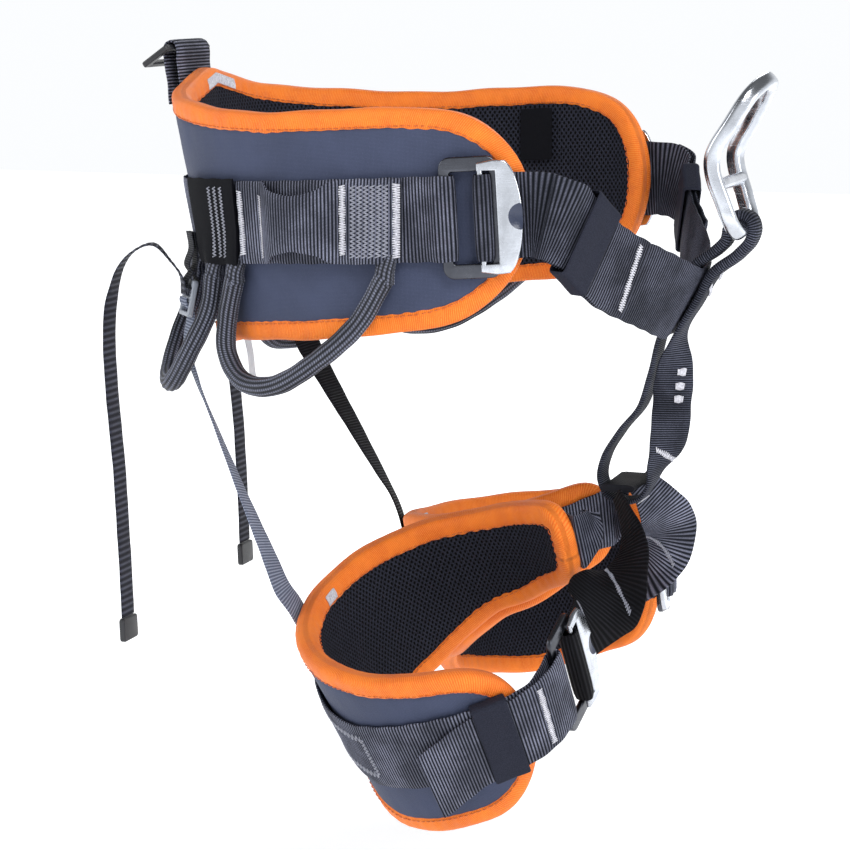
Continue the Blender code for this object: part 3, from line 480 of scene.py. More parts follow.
def tubular_webbing(name):
    """Tubular webbing: cords running along it, each a row of small slanting stitches."""
    look = Look(name, 0.60, sheen=0.06, specular=0.28)
    along, across = look.weave()
    cord = look.wave(across, 1.0, 1.3)
    slant = look.wave(look.plus(along, look.times(across, 0.0009)), 0.0016)
    lit = look.times(cord, look.span(slant, 0.0, 1.0, 0.25, 1.0))
    lit = look.times(lit, look.span(look.noise(2000), 0.3, 0.68, 0.35, 1.0))
    look.colour(look.mix(lit, (0.005, 0.006, 0.010), (0.300, 0.320, 0.430)))
    look.bump(look.plus(lit, cord), 0.00030, 0.9)
    return look.material


def thread(name, dark, light):
    look = Look(name, 0.55, sheen=0.2, specular=0.4)
    fuzz = look.noise(900)
    look.colour(look.mix(look.span(fuzz), dark, light))
    look.bump(fuzz, 0.0002)
    return look.material


def forged_alloy(name, base, rough):
    """Metal with fine scratches, faint dents and a patchy polish."""
    look = Look(name, rough, metallic=1.0)
    smear = look.noise(60, 5.0, 0.65)
    scuffs = look.span(look.noise(1.0, rough=0.5, stretch=(60, 60, 2400)), 0.58, 0.74)
    look.colour(look.mix(look.span(smear, 0.35, 0.75), base, tuple(0.72 * c for c in base)))
    polish = look.span(smear, to_low=rough * 0.8, to_high=rough * 1.5)
    look.rough(look.math("MULTIPLY_ADD", scuffs, 0.08, polish))
    look.bump(look.plus(smear, look.times(scuffs, -0.15)), 0.00025, 0.35)
    return look.material


def moulded_plastic(name, dark, light, rough=0.42):
    look = Look(name, rough)
    smear = look.noise(45, 4.0)
    look.colour(look.mix(look.span(smear), dark, light))
    look.rough(look.span(smear, to_low=rough * 0.85, to_high=rough * 1.35))
    look.bump(look.noise(1300), 0.00012)
    return look.material


def label_cloth(name):
    look = Look(name, 0.7, sheen=0.1, specular=0.3)
    along, across = look.weave()
    look.colour(look.mix(look.span(look.noise(70), 0.35, 0.8), (0.80, 0.81, 0.85), (0.66, 0.68, 0.74)))
    look.bump(look.times(look.wave(along, 0.0006), look.wave(across, 0.0006)), 0.00010)
    return look.material


LOOKS = {
    "shell": pad_cloth("pad_cloth"),
    "liner": spacer_mesh("spacer_mesh"),
    "binding": binding_tape("binding_tape"),
    "webbing": ribbed_webbing("load_webbing", (0.004, 0.005, 0.009), (0.540, 0.570, 0.770)),
    # Near-black webbing. On the right leg's front strap and the left riser it is painted shade.
    "near_black": ribbed_webbing("dark_webbing", (0.002, 0.002, 0.003), (0.022, 0.023, 0.034)),
    # A darker copy of the load webbing: painted shade on the front strap and its folds.
    "front_webbing": ribbed_webbing("front_webbing", (0.003, 0.004, 0.007), (0.260, 0.275, 0.380)),
    "tie_in": ribbed_webbing("tie_in_webbing", (0.003, 0.004, 0.007), (0.220, 0.235, 0.330), FINE_RIB),
    "fine_webbing": ribbed_webbing("fine_webbing", (0.008, 0.009, 0.013), (0.070, 0.076, 0.110), FINE_RIB,
                                   sheen=0.06),
    "riser": ribbed_webbing("riser_elastic", (0.085, 0.100, 0.150), (0.560, 0.620, 0.780), 0.0017,
                            share=0.75, worn=0.2, sheen=0.06),
    "tail": ribbed_webbing("tail_elastic", (0.010, 0.011, 0.018), (0.120, 0.130, 0.190), 0.0036,
                           share=0.7, worn=0.3, sheen=0.06),
    "tubular": tubular_webbing("tubular_webbing"),
    "elastic": plain_elastic("smooth_elastic", (0.010, 0.011, 0.019), (0.038, 0.042, 0.066)),
    "sleeve": plain_elastic("sleeve_cloth", (0.001, 0.001, 0.002), (0.007, 0.008, 0.013)),
    "white": thread("white_thread", (0.46, 0.46, 0.52), (0.76, 0.76, 0.82)),
    "grey": thread("grey_thread", (0.20, 0.21, 0.26), (0.36, 0.37, 0.44)),
    "orange": thread("orange_thread", (0.50, 0.085, 0.006), (0.80, 0.18, 0.02)),
    "alloy": forged_alloy("polished_alloy", (0.64, 0.67, 0.73), 0.19),
    "dark_alloy": forged_alloy("dark_alloy", (0.095, 0.100, 0.118), 0.24),
    # Bright metal for every rounded edge of the buckle frame.
    "bright_bevel": forged_alloy("bright_bevel", (0.62, 0.64, 0.68), 0.24),
    # Dark blue for the buckle's thumb hollow: painted shade.
    "recess": moulded_plastic("thumb_recess_painted_shade", (0.020, 0.028, 0.060), (0.045, 0.058, 0.105), 0.30),
    "black_plastic": moulded_plastic("black_plastic", (0.012, 0.013, 0.016), (0.030, 0.031, 0.036)),
    "grey_plastic": moulded_plastic("grey_plastic", (0.26, 0.29, 0.34), (0.36, 0.39, 0.45), 0.38),
    "label": label_cloth("label_cloth"),
}


# ---- camera, light and floor ----
AZIMUTH, ELEVATION = math.radians(-70), math.radians(10)
CAMERA_TARGET, CAMERA_DISTANCE = Vector((0, 0, -0.133)), 1.518
LENS, SENSOR = 108.6, 36.0
COOL_WHITE = (0.97, 0.985, 1.0)
SKY_GLOW = (0.12, 0.62, 1.0, 0.16)  # heights from and to, then the strengths there
FLOOR_GLOW = (0.35, 1.50, 0.44, 1.05)  # distances from and to, in metres, then the strengths there
FLOOR_HALF = 6.0
FLOOR_DROP = 0.16  # below the saddle's lowest point
LAMP_TARGET = Vector((0, 0, -0.12))
LAMPS = (  # name, place, size and power
    ("key", (-1.3, -1.1, 1.5), 0.9, 26), ("front", (-0.4, -2.0, 0.3), 0.7, 8),
    ("back", (-0.9, 1.5, 0.9), 0.8, 9), ("far", (1.6, 0.2, 1.2), 0.9, 10),
)


def link(obj):
    bpy.context.scene.collection.objects.link(obj)
    return obj


def aimed(name, data, place, way):
    """A camera or a lamp at a place, looking one way."""
    obj = link(bpy.data.objects.new(name, data))
    obj.location = place
    obj.rotation_mode = "QUATERNION"
    obj.rotation_quaternion = way.to_track_quat("-Z", "Y")
    return obj


def camera_and_light():
    back = Vector((math.sin(AZIMUTH) * math.cos(ELEVATION), -math.cos(AZIMUTH) * math.cos(ELEVATION),
                   math.sin(ELEVATION)))
    data = bpy.data.cameras.new("camera")
    data.lens, data.sensor_width = LENS, SENSOR
    scene = bpy.context.scene
    scene.camera = aimed("camera", data, CAMERA_TARGET + back * CAMERA_DISTANCE, -back)
    scene.view_settings.view_transform = "Standard"
    for name, place, size, power in LAMPS:
        light = bpy.data.lights.new(name, "AREA")
        light.size, light.energy = size, power
        aimed(name, light, place, LAMP_TARGET - Vector(place))
    scene.world = bpy.data.worlds.new("studio")
    scene.world.use_nodes = True
    sky = Nodes(scene.world.node_tree)
    background = sky.tree.nodes["Background"].inputs
    sky.put(background["Color"], COOL_WHITE)
    height = sky.split(sky.add("TexCoord").outputs["Generated"])["Z"]
    sky.put(background["Strength"], sky.span(height, *SKY_GLOW))


def pale_floor():
    look = Look("pale_floor", 0.9)
    look.colour((0.93, 0.93, 0.93))
    look.put(look.shader["Emission Color"], COOL_WHITE)
    reach = look.add("VectorMath")
    reach.operation = "LENGTH"
    look.put(reach.inputs[0], look.add("TexCoord").outputs["Object"])
    look.put(look.shader["Emission Strength"], look.span(reach.outputs["Value"], *FLOOR_GLOW))
    corners = [(x * FLOOR_HALF, y * FLOOR_HALF, 0) for x, y in ((-1, -1), (1, -1), (1, 1), (-1, 1))]
    mesh = bpy.data.meshes.new("floor")
    mesh.from_pydata(corners, [], [(0, 1, 2, 3)])
    mesh.materials.append(look.material)
    floor = link(bpy.data.objects.new("floor", mesh))
    floor.location = (0, 0, CAD_BOX[0].z - FLOOR_DROP)


# ---- builders ----
def finish_piece(obj, body, look, slot=None, nodes=()):
    """Puts a piece in the scene with its material, on its body, in place of its CAD nodes."""
    if look:
        obj.data.materials.append(LOOKS[look])
    if obj.name not in bpy.context.scene.collection.objects:
        link(obj)
    if body:
        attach(obj, body)
    for node in nodes:
        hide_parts(node)
    return obj


def mesh_object(name, verts, faces, uvs=None, sharp=50):
    """A smooth-shaded mesh. uvs holds one pair for each vertex: lengths on the cloth in metres."""
    mesh = bpy.data.meshes.new(name)
    mesh.from_pydata([tuple(v) for v in verts], [], [tuple(int(i) for i in f) for f in faces])
    if uvs is not None:
        layer = mesh.uv_layers.new(name="weave")
        index = np.zeros(len(mesh.loops), np.int32)
        mesh.loops.foreach_get("vertex_index", index)
        layer.data.foreach_set("uv", np.asarray(uvs, np.float32)[index].ravel())
    mesh.shade_smooth()
    mesh.set_sharp_from_angle(angle=math.radians(sharp))
    return bpy.data.objects.new(name, mesh)


def ring_faces(rows, around, closed=False):
    """Faces of a skin over rows of rings of points, with caps unless it is closed."""
    faces = []
    for i in range(rows if closed else rows - 1):
        a, b = i * around, (i + 1) % rows * around
        for j in range(around):
            k = (j + 1) % around
            faces.append((a + j, a + k, b + k, b + j))
    if not closed:
        faces.append(tuple(range(around - 1, -1, -1)))
        faces.append(tuple(range((rows - 1) * around, rows * around)))
    return faces


def hermite(data, at, want):
    """Rows of data at places along it, through smooth curves with no overshoot at even spacing."""
    slopes = np.gradient(data, at, axis=0)
    index = np.clip(np.searchsorted(at, want, side="right") - 1, 0, len(at) - 2)
    gap = (at[index + 1] - at[index])[:, None]
    t = ((want - at[index]) / gap[:, 0])[:, None]
    return ((2 * t ** 3 - 3 * t ** 2 + 1) * data[index] + (t ** 3 - 2 * t ** 2 + t) * gap * slopes[index]
            + (3 * t ** 2 - 2 * t ** 3) * data[index + 1] + (t ** 3 - t ** 2) * gap * slopes[index + 1])


def unit(rows):
    return rows / np.maximum(np.linalg.norm(rows, axis=-1, keepdims=True), 1e-9)


class Strap:
    """Webbing through (middle, half-width vector) stations, with real cross ribs and soft edges."""

    def __init__(self, stations, thickness=LAYER, rib=RIB, rise=RIB_RISE, closed=False, step=None,
                 wobble=0.00016, plump=None):
        self.thickness, self.rib, self.rise, self.closed = thickness, rib, rise, closed
        self.wobble, self.bulge, self.plump = wobble, None, plump
        self.seed = 700 * abs(stations[-1][0][0] + stations[-1][0][2]) % 6.3
        if closed:
            stations = stations[-3:] + stations + stations[:3]
        data = np.array([[*middle, *half] for middle, half in stations], float)
        at = along_line(data[:, :3])
        first, last = (at[3], at[-3]) if closed else (0.0, at[-1])
        count = max(3, round((last - first) / (step or rib / 4)))
        want = np.linspace(first, last, count + 1)
        if closed:
            want = want[:-1]
        rows = hermite(data, at, want)
        self.at = want - first
        self.length = last - first
        self.middles, self.halves = rows[:, :3], rows[:, 3:]
        if closed:
            along = np.roll(self.middles, -1, axis=0) - np.roll(self.middles, 1, axis=0)
        else:
            along = np.gradient(self.middles, axis=0)
        self.normals = unit(np.cross(along, self.halves))

    def point(self, s, v, lift=0.0, face=1):
        """A point on a face: s along the strap, v across it from its middle, lifted off it."""
        rows = [np.array([np.interp(s, self.at, part[:, k]) for k in range(3)])
                for part in (self.middles, self.halves, self.normals)]
        middle, half, normal = rows
        width = np.linalg.norm(half)
        v = max(-width, min(width, v))
        off = face * (self.thick(middle[None, :])[0, 0] / 2 + lift)
        off += self.sway(np.array([[s]]), v, width)[0, 0]
        return Vector(middle + half / width * v + unit(normal) * off)

    def thick(self, middles):
        return self.thickness * (self.plump(middles) if self.plump else np.ones((len(middles), 1)))

    def sway(self, at, across, width):
        """How far the strap's middle layer stands off its line: slow waves and its lift over other parts."""
        waves = self.wobble * (np.sin(at * 95 + self.seed) + 0.6 * np.sin(at * 231 + 2 * self.seed))
        waves = waves * (0.35 + 0.65 * np.abs(across / width))
        return waves if self.bulge is None else waves + self.bulge(at, across)

    def near(self, place):
        """How far along the strap it comes nearest to a place."""
        return float(self.at[np.argmin(np.linalg.norm(self.middles - np.array(place), axis=1))])

    def facing(self, way, share=0.5):
        """Turns the strap so that face 1 looks one way at a share of its length."""
        if self.normals[int(share * (len(self.at) - 1))] @ np.array(way) < 0:
            self.normals = -self.normals
        return self

    def away_from(self, centre, share=0.5):
        return self.facing(self.middles[int(share * (len(self.at) - 1))] - np.array(centre), share)

    def build(self, name, body, look="webbing", slot="webbing", nodes=()):
        share = np.sin(np.linspace(-1, 1, STRAP_COLUMNS) * math.pi / 2 * 0.96)
        share /= share[-1]
        full = 1 - 0.62 * np.abs(share) ** 9
        phase = 2 * math.pi * self.at / self.rib
        ribs = self.rise * np.cos(phase)[:, None] * (1 - np.abs(share) ** 8)
        width = np.linalg.norm(self.halves, axis=1)[:, None]
        sway = self.sway(self.at[:, None], share * width, width)
        edge = 1 + 0.010 * np.sin(self.at * 410 + self.seed)[:, None] * np.abs(share) ** 4
        middle = self.middles[:, None, :] + self.halves[:, None, :] * (share * edge)[:, :, None]
        normal = self.normals[:, None, :]
        half_thick = self.thick(self.middles) / 2 * full + ribs
        top = middle + normal * (sway + half_thick)[:, :, None]
        low = middle + normal * (sway - half_thick)[:, :, None]
        rings = np.concatenate([top, low[:, ::-1]], axis=1)
        count, around = rings.shape[:2]
        across = np.concatenate([share, share[::-1]]) * width
        uvs = np.stack([np.repeat(self.at[:, None], around, axis=1), across], axis=2)
        obj = mesh_object(name, rings.reshape(-1, 3), ring_faces(count, around, self.closed),
                          uvs.reshape(-1, 2), 60)
        return finish_piece(obj, body, look, slot, nodes)


class Threads:
    """The stitching of one colour on one body, gathered in one curve."""

    def __init__(self, name, body, look, radius=THREAD_R, slot="webbing"):
        self.curve = bpy.data.curves.new(name, "CURVE")
        self.curve.dimensions = "3D"
        self.curve.bevel_depth = radius
        self.curve.bevel_resolution = 0
        self.curve.use_fill_caps = True
        self.name, self.body, self.look, self.slot = name, body, look, slot

    def add(self, points):
        spline = self.curve.splines.new("POLY")
        spline.points.add(len(points) - 1)
        for target, point in zip(spline.points, points):
            target.co = (*point, 1.0)

    def zigzag(self, strap, first, last, width, pitch, face=1, lift=0.0002):
        """A zigzag between two (s, v) places on a strap, each leg a round thread of its own."""
        (s0, v0), (s1, v1) = first, last
        count = max(4, round(max(s1 - s0, abs(v1 - v0)) / pitch * 2))
        line = []
        for k in range(count + 1):
            aside = width / 2 * (1 if k % 2 else -1)
            s, v = s0 + (s1 - s0) * k / count, v0 + (v1 - v0) * k / count
            s, v = (s, v + aside) if v0 == v1 else (s + aside, v)
            line.append(strap.point(s, v, lift, face))
        self.legs(line)

    def legs(self, line):
        for ends in zip(line, line[1:]):
            self.add(ends)

    def tack(self, strap, s, low, high, width=0.0034, pitch=0.0013, face=1, slant=0.0, lift=0.00050):
        """A bar-tack across a strap: a dense zigzag from one v to another."""
        count = max(6, round(abs(high - low) / pitch * 2))
        line = []
        for k in range(count + 1):
            v = low + (high - low) * k / count
            ragged = 0.00030 * math.sin(k * 12.9898 + s * 900)
            place = s + slant * v + (width / 2 + ragged) * (1 if k % 2 else -1)
            line.append(strap.point(place, v, lift, face))
        self.legs(line)

    def run(self, points, out, stitch=0.0028, gap=0.0010, dip=0.0006):
        """Running stitches along a dense line of points; out gives the way off the cloth at each."""
        line = np.array([[*point, *way] for point, way in zip(points, out)], float)
        at = along_line(line[:, :3])
        start = 0.0
        while start + stitch < at[-1]:
            places = np.linspace(start, start + stitch, 4)
            rows = np.stack([np.interp(places, at, column) for column in line.T], axis=1)
            self.add(rows[:, :3] - rows[:, 3:] * (dip * np.array([1.0, 0.0, 0.0, 1.0]))[:, None])
            start += stitch + gap

    def build(self):
        obj = bpy.data.objects.new(self.name, self.curve)
        return finish_piece(obj, self.body, self.look, self.slot)


def closed_way(line):
    """The unit way on along a closed line, at each of its points."""
    return unit(np.roll(line, -1, axis=0) - np.roll(line, 1, axis=0))


def ring(radius, turn, wide=1.0, high=1.0):
    """A round section as (x, y) offsets, stretched to be wider or higher."""
    return np.stack([radius * np.cos(turn) * wide, radius * np.sin(turn) * high], axis=1)


def sweep(name, line, section, body, look, slot, nodes=(), closed=False, sharp=50, up=(0.3, 0.2, 0.93),
          cords=1):
    """A section of (x, y) offsets carried along a line without twisting. cords counts its ridges."""
    line = np.array([list(p) for p in line], float)
    along = closed_way(line) if closed else unit(np.gradient(line, axis=0))
    side = np.zeros_like(line)
    first = np.array(up)
    for k, way in enumerate(along):
        first = first - way * (first @ way)
        first = first / np.linalg.norm(first)
        side[k] = first
    third = np.cross(along, side)
    section = np.array(section, float)
    sections = section if section.ndim == 3 else np.repeat(section[None], len(line), axis=0)
    rings = line[:, None, :] + side[:, None, :] * sections[:, :, :1] + third[:, None, :] * sections[:, :, 1:]
    around = rings.shape[1]
    uvs = np.stack([np.repeat(along_line(line)[:, None], around, axis=1),
                    np.repeat(np.arange(around)[None, :] * cords / around, len(line), axis=0)], axis=2)
    faces = ring_faces(len(line), around, closed)
    obj = mesh_object(name, rings.reshape(-1, 3), faces, uvs.reshape(-1, 2), sharp)
    return finish_piece(obj, body, look, slot, nodes)


def flip(stations, side):
    """Stations for one side: the left side's, or their mirror image."""
    return [(mirrored(middle, side), mirrored(half, side)) for middle, half in stations]


def between(low, high):
    return (low + high) / 2, (high - low) / 2


def wall_stations(wall, places, half=WEB / 2):
    return [between(wall.at(s, -half, c), wall.at(s, half, c)) for s, c in places]


def follow(line, start, way_at, width_at):
    """Stations along a line from start; way_at and width_at give the half-width at a share of it."""
    stations = []
    for k, point in enumerate(line):
        share = (k + 1) / len(line)
        along = (line[min(k + 1, len(line) - 1)] - (line[k - 1] if k else start)).normalized()
        stations.append((point, square_to(way_at(share), along) * width_at(share)))
    return stations


def frame_stations(matrix, places, half=WEB / 2):
    across = (matrix.to_3x3() @ UNIT_Y).normalized() * half
    return [(matrix @ Vector((a / 1000, 0.0, c / 1000)), across) for a, c in places]


def bar_wrap(middle_a, middle_c, radius, first, last, count):
    return [(middle_a + radius * math.cos(math.radians(t)), middle_c + radius * math.sin(math.radians(t)))
            for t in spread(first, last, count)]


# ---- pads ----
def end_stations(first, last, roundings, step, end_steps=9):
    """Places along a pad, closer together in its round ends."""
    shares = [0.006] + [1 - math.cos(math.pi / 2 * k / end_steps) for k in range(1, end_steps)]
    inner_first, inner_last = first + roundings[0], last - roundings[1]
    return ([first + roundings[0] * share for share in shares]
            + spread(inner_first, inner_last, max(1, round((inner_last - inner_first) / step)) + 1)
            + [last - roundings[1] * share for share in reversed(shares)])


def ripple(length, z):
    """Slow creases in a pad's cloth, from -1 to 1."""
    return (0.5 * math.sin(41 * length + 63 * z + 1.3) + 0.3 * math.sin(97 * length - 71 * z + 0.4)
            + 0.2 * math.sin(173 * length + 149 * z + 2.1))


def pad(name, wall, stations, outer, thickness, side, body, look, node, cap, pressed):
    """One stuffed layer of a pad. Its free face swells by cloth simulation, least where pressed() says.
    The free face is the outer one where cap is positive."""
    bottom, top = wall.edges(stations[len(stations) // 2])
    across = 2 + round((top - bottom) / CLOTH_CELL)
    rows = [[(s, z) for z in spread(*wall.edges(s), across)] for s in stations]
    count = len(rows)
    verts, uvs = [], []
    for depth in (outer, outer - thickness):
        for row in rows:
            for s, z in row:
                verts.append(mirrored(wall.at(s, z, depth), side))
                uvs.append((s * wall.scale, z))
    face = count * across

    def at(layer, i, j):
        return layer * face + i * across + j

    faces = []
    for i in range(count - 1):
        for j in range(across - 1):
            faces.append((at(0, i, j), at(0, i, j + 1), at(0, i + 1, j + 1), at(0, i + 1, j)))
            faces.append((at(1, i, j), at(1, i + 1, j), at(1, i + 1, j + 1), at(1, i, j + 1)))
    rim = [(0, j) for j in range(across)] + [(i, across - 1) for i in range(1, count)]
    rim += [(count - 1, j) for j in range(across - 2, -1, -1)] + [(i, 0) for i in range(count - 2, 0, -1)]
    for (a, b), (c, d) in zip(rim, rim[1:] + rim[:1]):
        faces.append((at(0, a, b), at(1, a, b), at(1, c, d), at(0, c, d)))
    obj = mesh_object(name, verts, faces, uvs)
    work = bmesh.new()
    work.from_mesh(obj.data)
    bmesh.ops.recalc_face_normals(work, faces=work.faces)
    work.to_mesh(obj.data)
    work.free()
    link(obj)

    start = np.array([v.co for v in obj.data.vertices], float)
    moved = swollen(obj, [at(layer, i, j) for layer in (0, 1) for i, j in rim])
    swell = np.minimum(np.linalg.norm(moved - start, axis=1), abs(cap))
    free = 0 if cap > 0 else 1
    for i, row in enumerate(rows):
        for j, (s, z) in enumerate(row):
            bottom, top = wall.edges(s)
            inside, length = min(z - bottom, top - z), s * wall.scale
            lift = swell[at(free, i, j)] * pressed(s, z)
            lift += CREASE * ripple(length, z) * min(inside, 0.03) / 0.03
            pucker = math.sin(length * 2 * math.pi / PUCKER + 1.7 * math.sin(length * 130))
            lift += PUCKER_RISE * pucker * max(0.0, 1 - abs(inside - 0.009) / 0.008)
            depth = outer + lift if free == 0 else outer - thickness - lift
            start[at(free, i, j)] = mirrored(wall.at(s, z, depth), side)
    obj.data.vertices.foreach_set("co", start.astype(np.float32).ravel())
    soften = obj.modifiers.new("soften", "SUBSURF")
    soften.levels = soften.render_levels = 1
    finish_piece(obj, body, look, f"pad_{look}", [node])


def swollen(obj, pinned):
    """Where the cloth's points lie when it is blown up from inside, with its rim held."""
    group = obj.vertex_groups.new(name="rim")
    group.add(pinned, 1.0, "REPLACE")
    cloth = obj.modifiers.new("cloth", "CLOTH")
    settings = cloth.settings
    settings.vertex_group_mass = "rim"
    settings.mass = 0.3
    settings.tension_stiffness = settings.compression_stiffness = 22
    settings.bending_stiffness = 0.6
    settings.use_pressure = True
    settings.uniform_pressure_force = 4
    settings.effector_weights.gravity = 0
    cloth.collision_settings.use_collision = False
    cloth.point_cache.frame_start, cloth.point_cache.frame_end = 1, CLOTH_STEPS
    scene = bpy.context.scene
    for step in range(1, CLOTH_STEPS + 1):
        scene.frame_set(step)
    shown = obj.evaluated_get(bpy.context.evaluated_depsgraph_get())
    moved = np.array([v.co for v in shown.data.vertices], float)
    obj.modifiers.remove(cloth)
    obj.vertex_groups.remove(group)
    scene.frame_set(1)
    return moved


def closed_line(points, step, lap=3):
    """A smooth closed line through points, which overlap at its ends to keep it smooth there."""
    data = np.array([list(p) for p in points], float)
    data = np.concatenate([data[-lap:], data, data[:lap]])
    at = along_line(data)
    first, last = at[lap], at[-lap]
    return hermite(data, at, np.linspace(first, last, round((last - first) / step) + 1)[:-1])


def edge_loop(wall, stations):
    """The pad's outline as a smooth closed line of (s in metres, z), and the unit way out at each point."""
    loop = [(s * wall.scale, wall.edges(s)[0]) for s in stations]
    loop += [(s * wall.scale, wall.edges(s)[1]) for s in reversed(stations)]
    line = closed_line(loop, 0.0016, 4)
    for _ in range(6):
        line = 0.5 * line + 0.25 * (np.roll(line, 1, axis=0) + np.roll(line, -1, axis=0))
    along = closed_way(line)
    return line, np.stack([along[:, 1], -along[:, 0]], axis=1)


def binding(name, wall, stations, side, body, node):
    """The tape folded over a pad's edge: a soft flat lip on both faces and a round rim."""
    line, outward = edge_loop(wall, stations)
    angles = turns(20)
    clear = TAPE_MIDDLE + TAPE_HALF * np.sign(np.cos(angles)) * np.abs(np.cos(angles)) ** 0.72
    depth = TAPE_THICK * np.sign(np.sin(angles)) * np.abs(np.sin(angles)) ** 0.62
    profile = along_line(np.stack([clear, depth], axis=1))

    def place(k, out, off):
        """A point at the outline's point k, so far outside it and off the pad's middle."""
        s, z = line[k] + outward[k] * out
        return mirrored(wall.at(s / wall.scale, z, PAD_MIDDLE + off), side)

    verts, uvs = [], []
    for k, length in enumerate(along_line(line)):
        pinch = 1 + 0.045 * math.sin(length * 2 * math.pi / PUCKER) + 0.03 * math.sin(length * 210)
        wander = 0.0005 * math.sin(length * 58) + 0.0003 * math.sin(length * 143)
        for m, (c, d) in enumerate(zip(clear, depth)):
            verts.append(place(k, c + wander, d * (pinch if c < 0.004 else 1 + 0.3 * (pinch - 1))))
            uvs.append((length, profile[m]))
    obj = mesh_object(name, verts, ring_faces(len(line), len(angles), True), uvs, 70)
    finish_piece(obj, body, "binding", "binding", [node])
    seam = Threads(name + "_stitching", body, "orange", 0.00030, "binding")
    for face in (1, -1):
        off = face * (TAPE_THICK * 1.02 + 0.0001)
        rows = [place(k, -0.0006, off) for k in range(len(line))]
        above = [place(k, -0.0006, off + face * 0.01) for k in range(len(line))]
        seam.run(rows, [(high - low).normalized() for high, low in zip(above, rows)])
    seam.build()


def binding_mark(name, wall, first, last, side, body):
    """White stitches over the tape's joint, on the inner face of a pad's top edge."""
    mark = Threads(name, body, "white", slot="binding")
    points = []
    for k, s in enumerate(spread(first, last, round((last - first) * wall.scale / 0.0007) + 1)):
        ends = (0.0000, 0.0028, 0.0058) if k % 2 else (0.0058, 0.0028, 0.0000)
        for out, share in zip(ends, (0.93, 1.0, 0.93)):
            depth = PAD_MIDDLE - TAPE_THICK * share - 0.0005
            points.append(mirrored(wall.at(s, wall.edges(s)[1] + out, depth), side))
    mark.add(points)
    mark.build()


def whole_pad(prefix, wall, stations, side, body, pressed, joint):
    """A pad's cloth, its mesh lining, its binding and the stitches over the binding's joint."""
    pad(f"{prefix}_cloth", wall, stations, 0.0, SHELL, side, body, "shell", f"{prefix}_pad_shell", CAP[0],
        pressed)
    pad(f"{prefix}_mesh_lining", wall, stations, -SHELL - GAP, LINER, side, body, "liner",
        f"{prefix}_pad_liner", -CAP[1], lambda s, z: LINING_FREE)
    binding(f"{prefix}_binding", wall, stations, side, body, f"{prefix}_pad_binding")
    binding_mark(f"{prefix}_binding_joint", wall, *joint, side, body)


def belt_pressed(s, z):
    """How free the belt pad's outer face is to swell: least under the webbing."""
    under = max(0.0, 1 - max(0.0, abs(z) - WEB / 2) / 0.012)
    low = max(0.0, 1 - abs(z + 0.036) / 0.014) if 0.04 < abs(s) < 0.25 else 0.0
    return max(0.0, 1 - under) * (1 - 0.75 * low) * 0.62


def belt_pad():
    stations = end_stations(-BELT_PAD_END, BELT_PAD_END, (BELT_ROUNDING, BELT_ROUNDING), CLOTH_CELL)
    whole_pad("belt", BELT, stations, 1, "belt", belt_pressed, (-0.016, 0.020))
    inside = -SHELL - GAP - LINER - CAP[1] * LINING_FREE - 0.0008
    patch = [(BELT.at(s, 0.030, inside), BELT.at(s, 0.046, inside) - BELT.at(s, 0.030, inside))
             for s in spread(0.228, 0.250, 6)]
    patch = Strap(patch, thickness=0.0008, rise=0.0, step=0.002)
    patch.build("blank_inner_patch", "belt", "sleeve", "pad_liner")


def leg_pad(side, word):
    wall = LEGS[word]

    def pressed(angle, z):
        under = max(0.0, 1 - max(0.0, abs(z - wall.webbing_at(angle)) - WEB / 2 - 0.004) / 0.010)
        return (1 - under) * 0.45

    stations = end_stations(LEG_PAD_INNER, LEG_PAD_OUTER, (LEG_INNER_ROUNDING, LEG_OUTER_ROUNDING),
                            CLOTH_CELL / LEG_R)
    whole_pad(f"{word}_leg", wall, stations, side, f"{word}_leg_loop", pressed, (-0.17, -0.04))


# ---- belt: webbing, sleeve, lanyard loop and gear loops ----
LOOP_ROOTS = (0.048, 0.120, 0.143, 0.241)  # along the belt, where the gear loops go under the webbing
ROOT_RISE = 0.0034
OVERLAY = CURVE_GAP + LAYER * 1.5 + 0.0007  # from the belt's wall to a second layer's middle


def root_bulge(middle_at):
    """Lifts the webbing's lower edge over the ends of the gear loops; middle_at is s = 0 on the strap."""
    def lift(at, across):
        place = np.abs(at - middle_at)
        total = sum(np.exp(-((place - root) / 0.0085) ** 2) for root in LOOP_ROOTS)
        return ROOT_RISE * np.minimum(total, 1.0) * np.clip((-across - 0.003) / 0.019, 0, 1) ** 1.6
    return lift


def belt_webbing():
    flat = spread(0.0, BELT_BUCKLE - 0.0263, 40)
    left = wall_stations(BELT, [(s, CURVE_GAP + LAYER / 2) for s in flat])
    left += frame_stations(BELT.frame(BELT_BUCKLE), [
        (-12.5, 2.1), (-8, 3.6), (-4.5, 5.6), (-1.5, 7.6), (1, 8.0), (4.4, 8.0), (6.7, 7.3), (7.6, 4.9),
        (6.7, 2.6), (4.4, 1.75), (-2.5, 1.75),
    ])
    strap = Strap(flip(left, -1)[:0:-1] + left).facing(UNIT_Y)
    strap.bulge = root_bulge(strap.length / 2)
    strap.build("belt_load_webbing", "belt", nodes=["belt_webbing"])
    for side, word in SIDES:
        white = Threads(f"{word}_belt_bar_tacks", "belt", "white")
        grey = Threads(f"{word}_belt_zigzag_seams", "belt", "grey")
        belt_overlays(side, word, white, grey)
        white.build()
        grey.build()


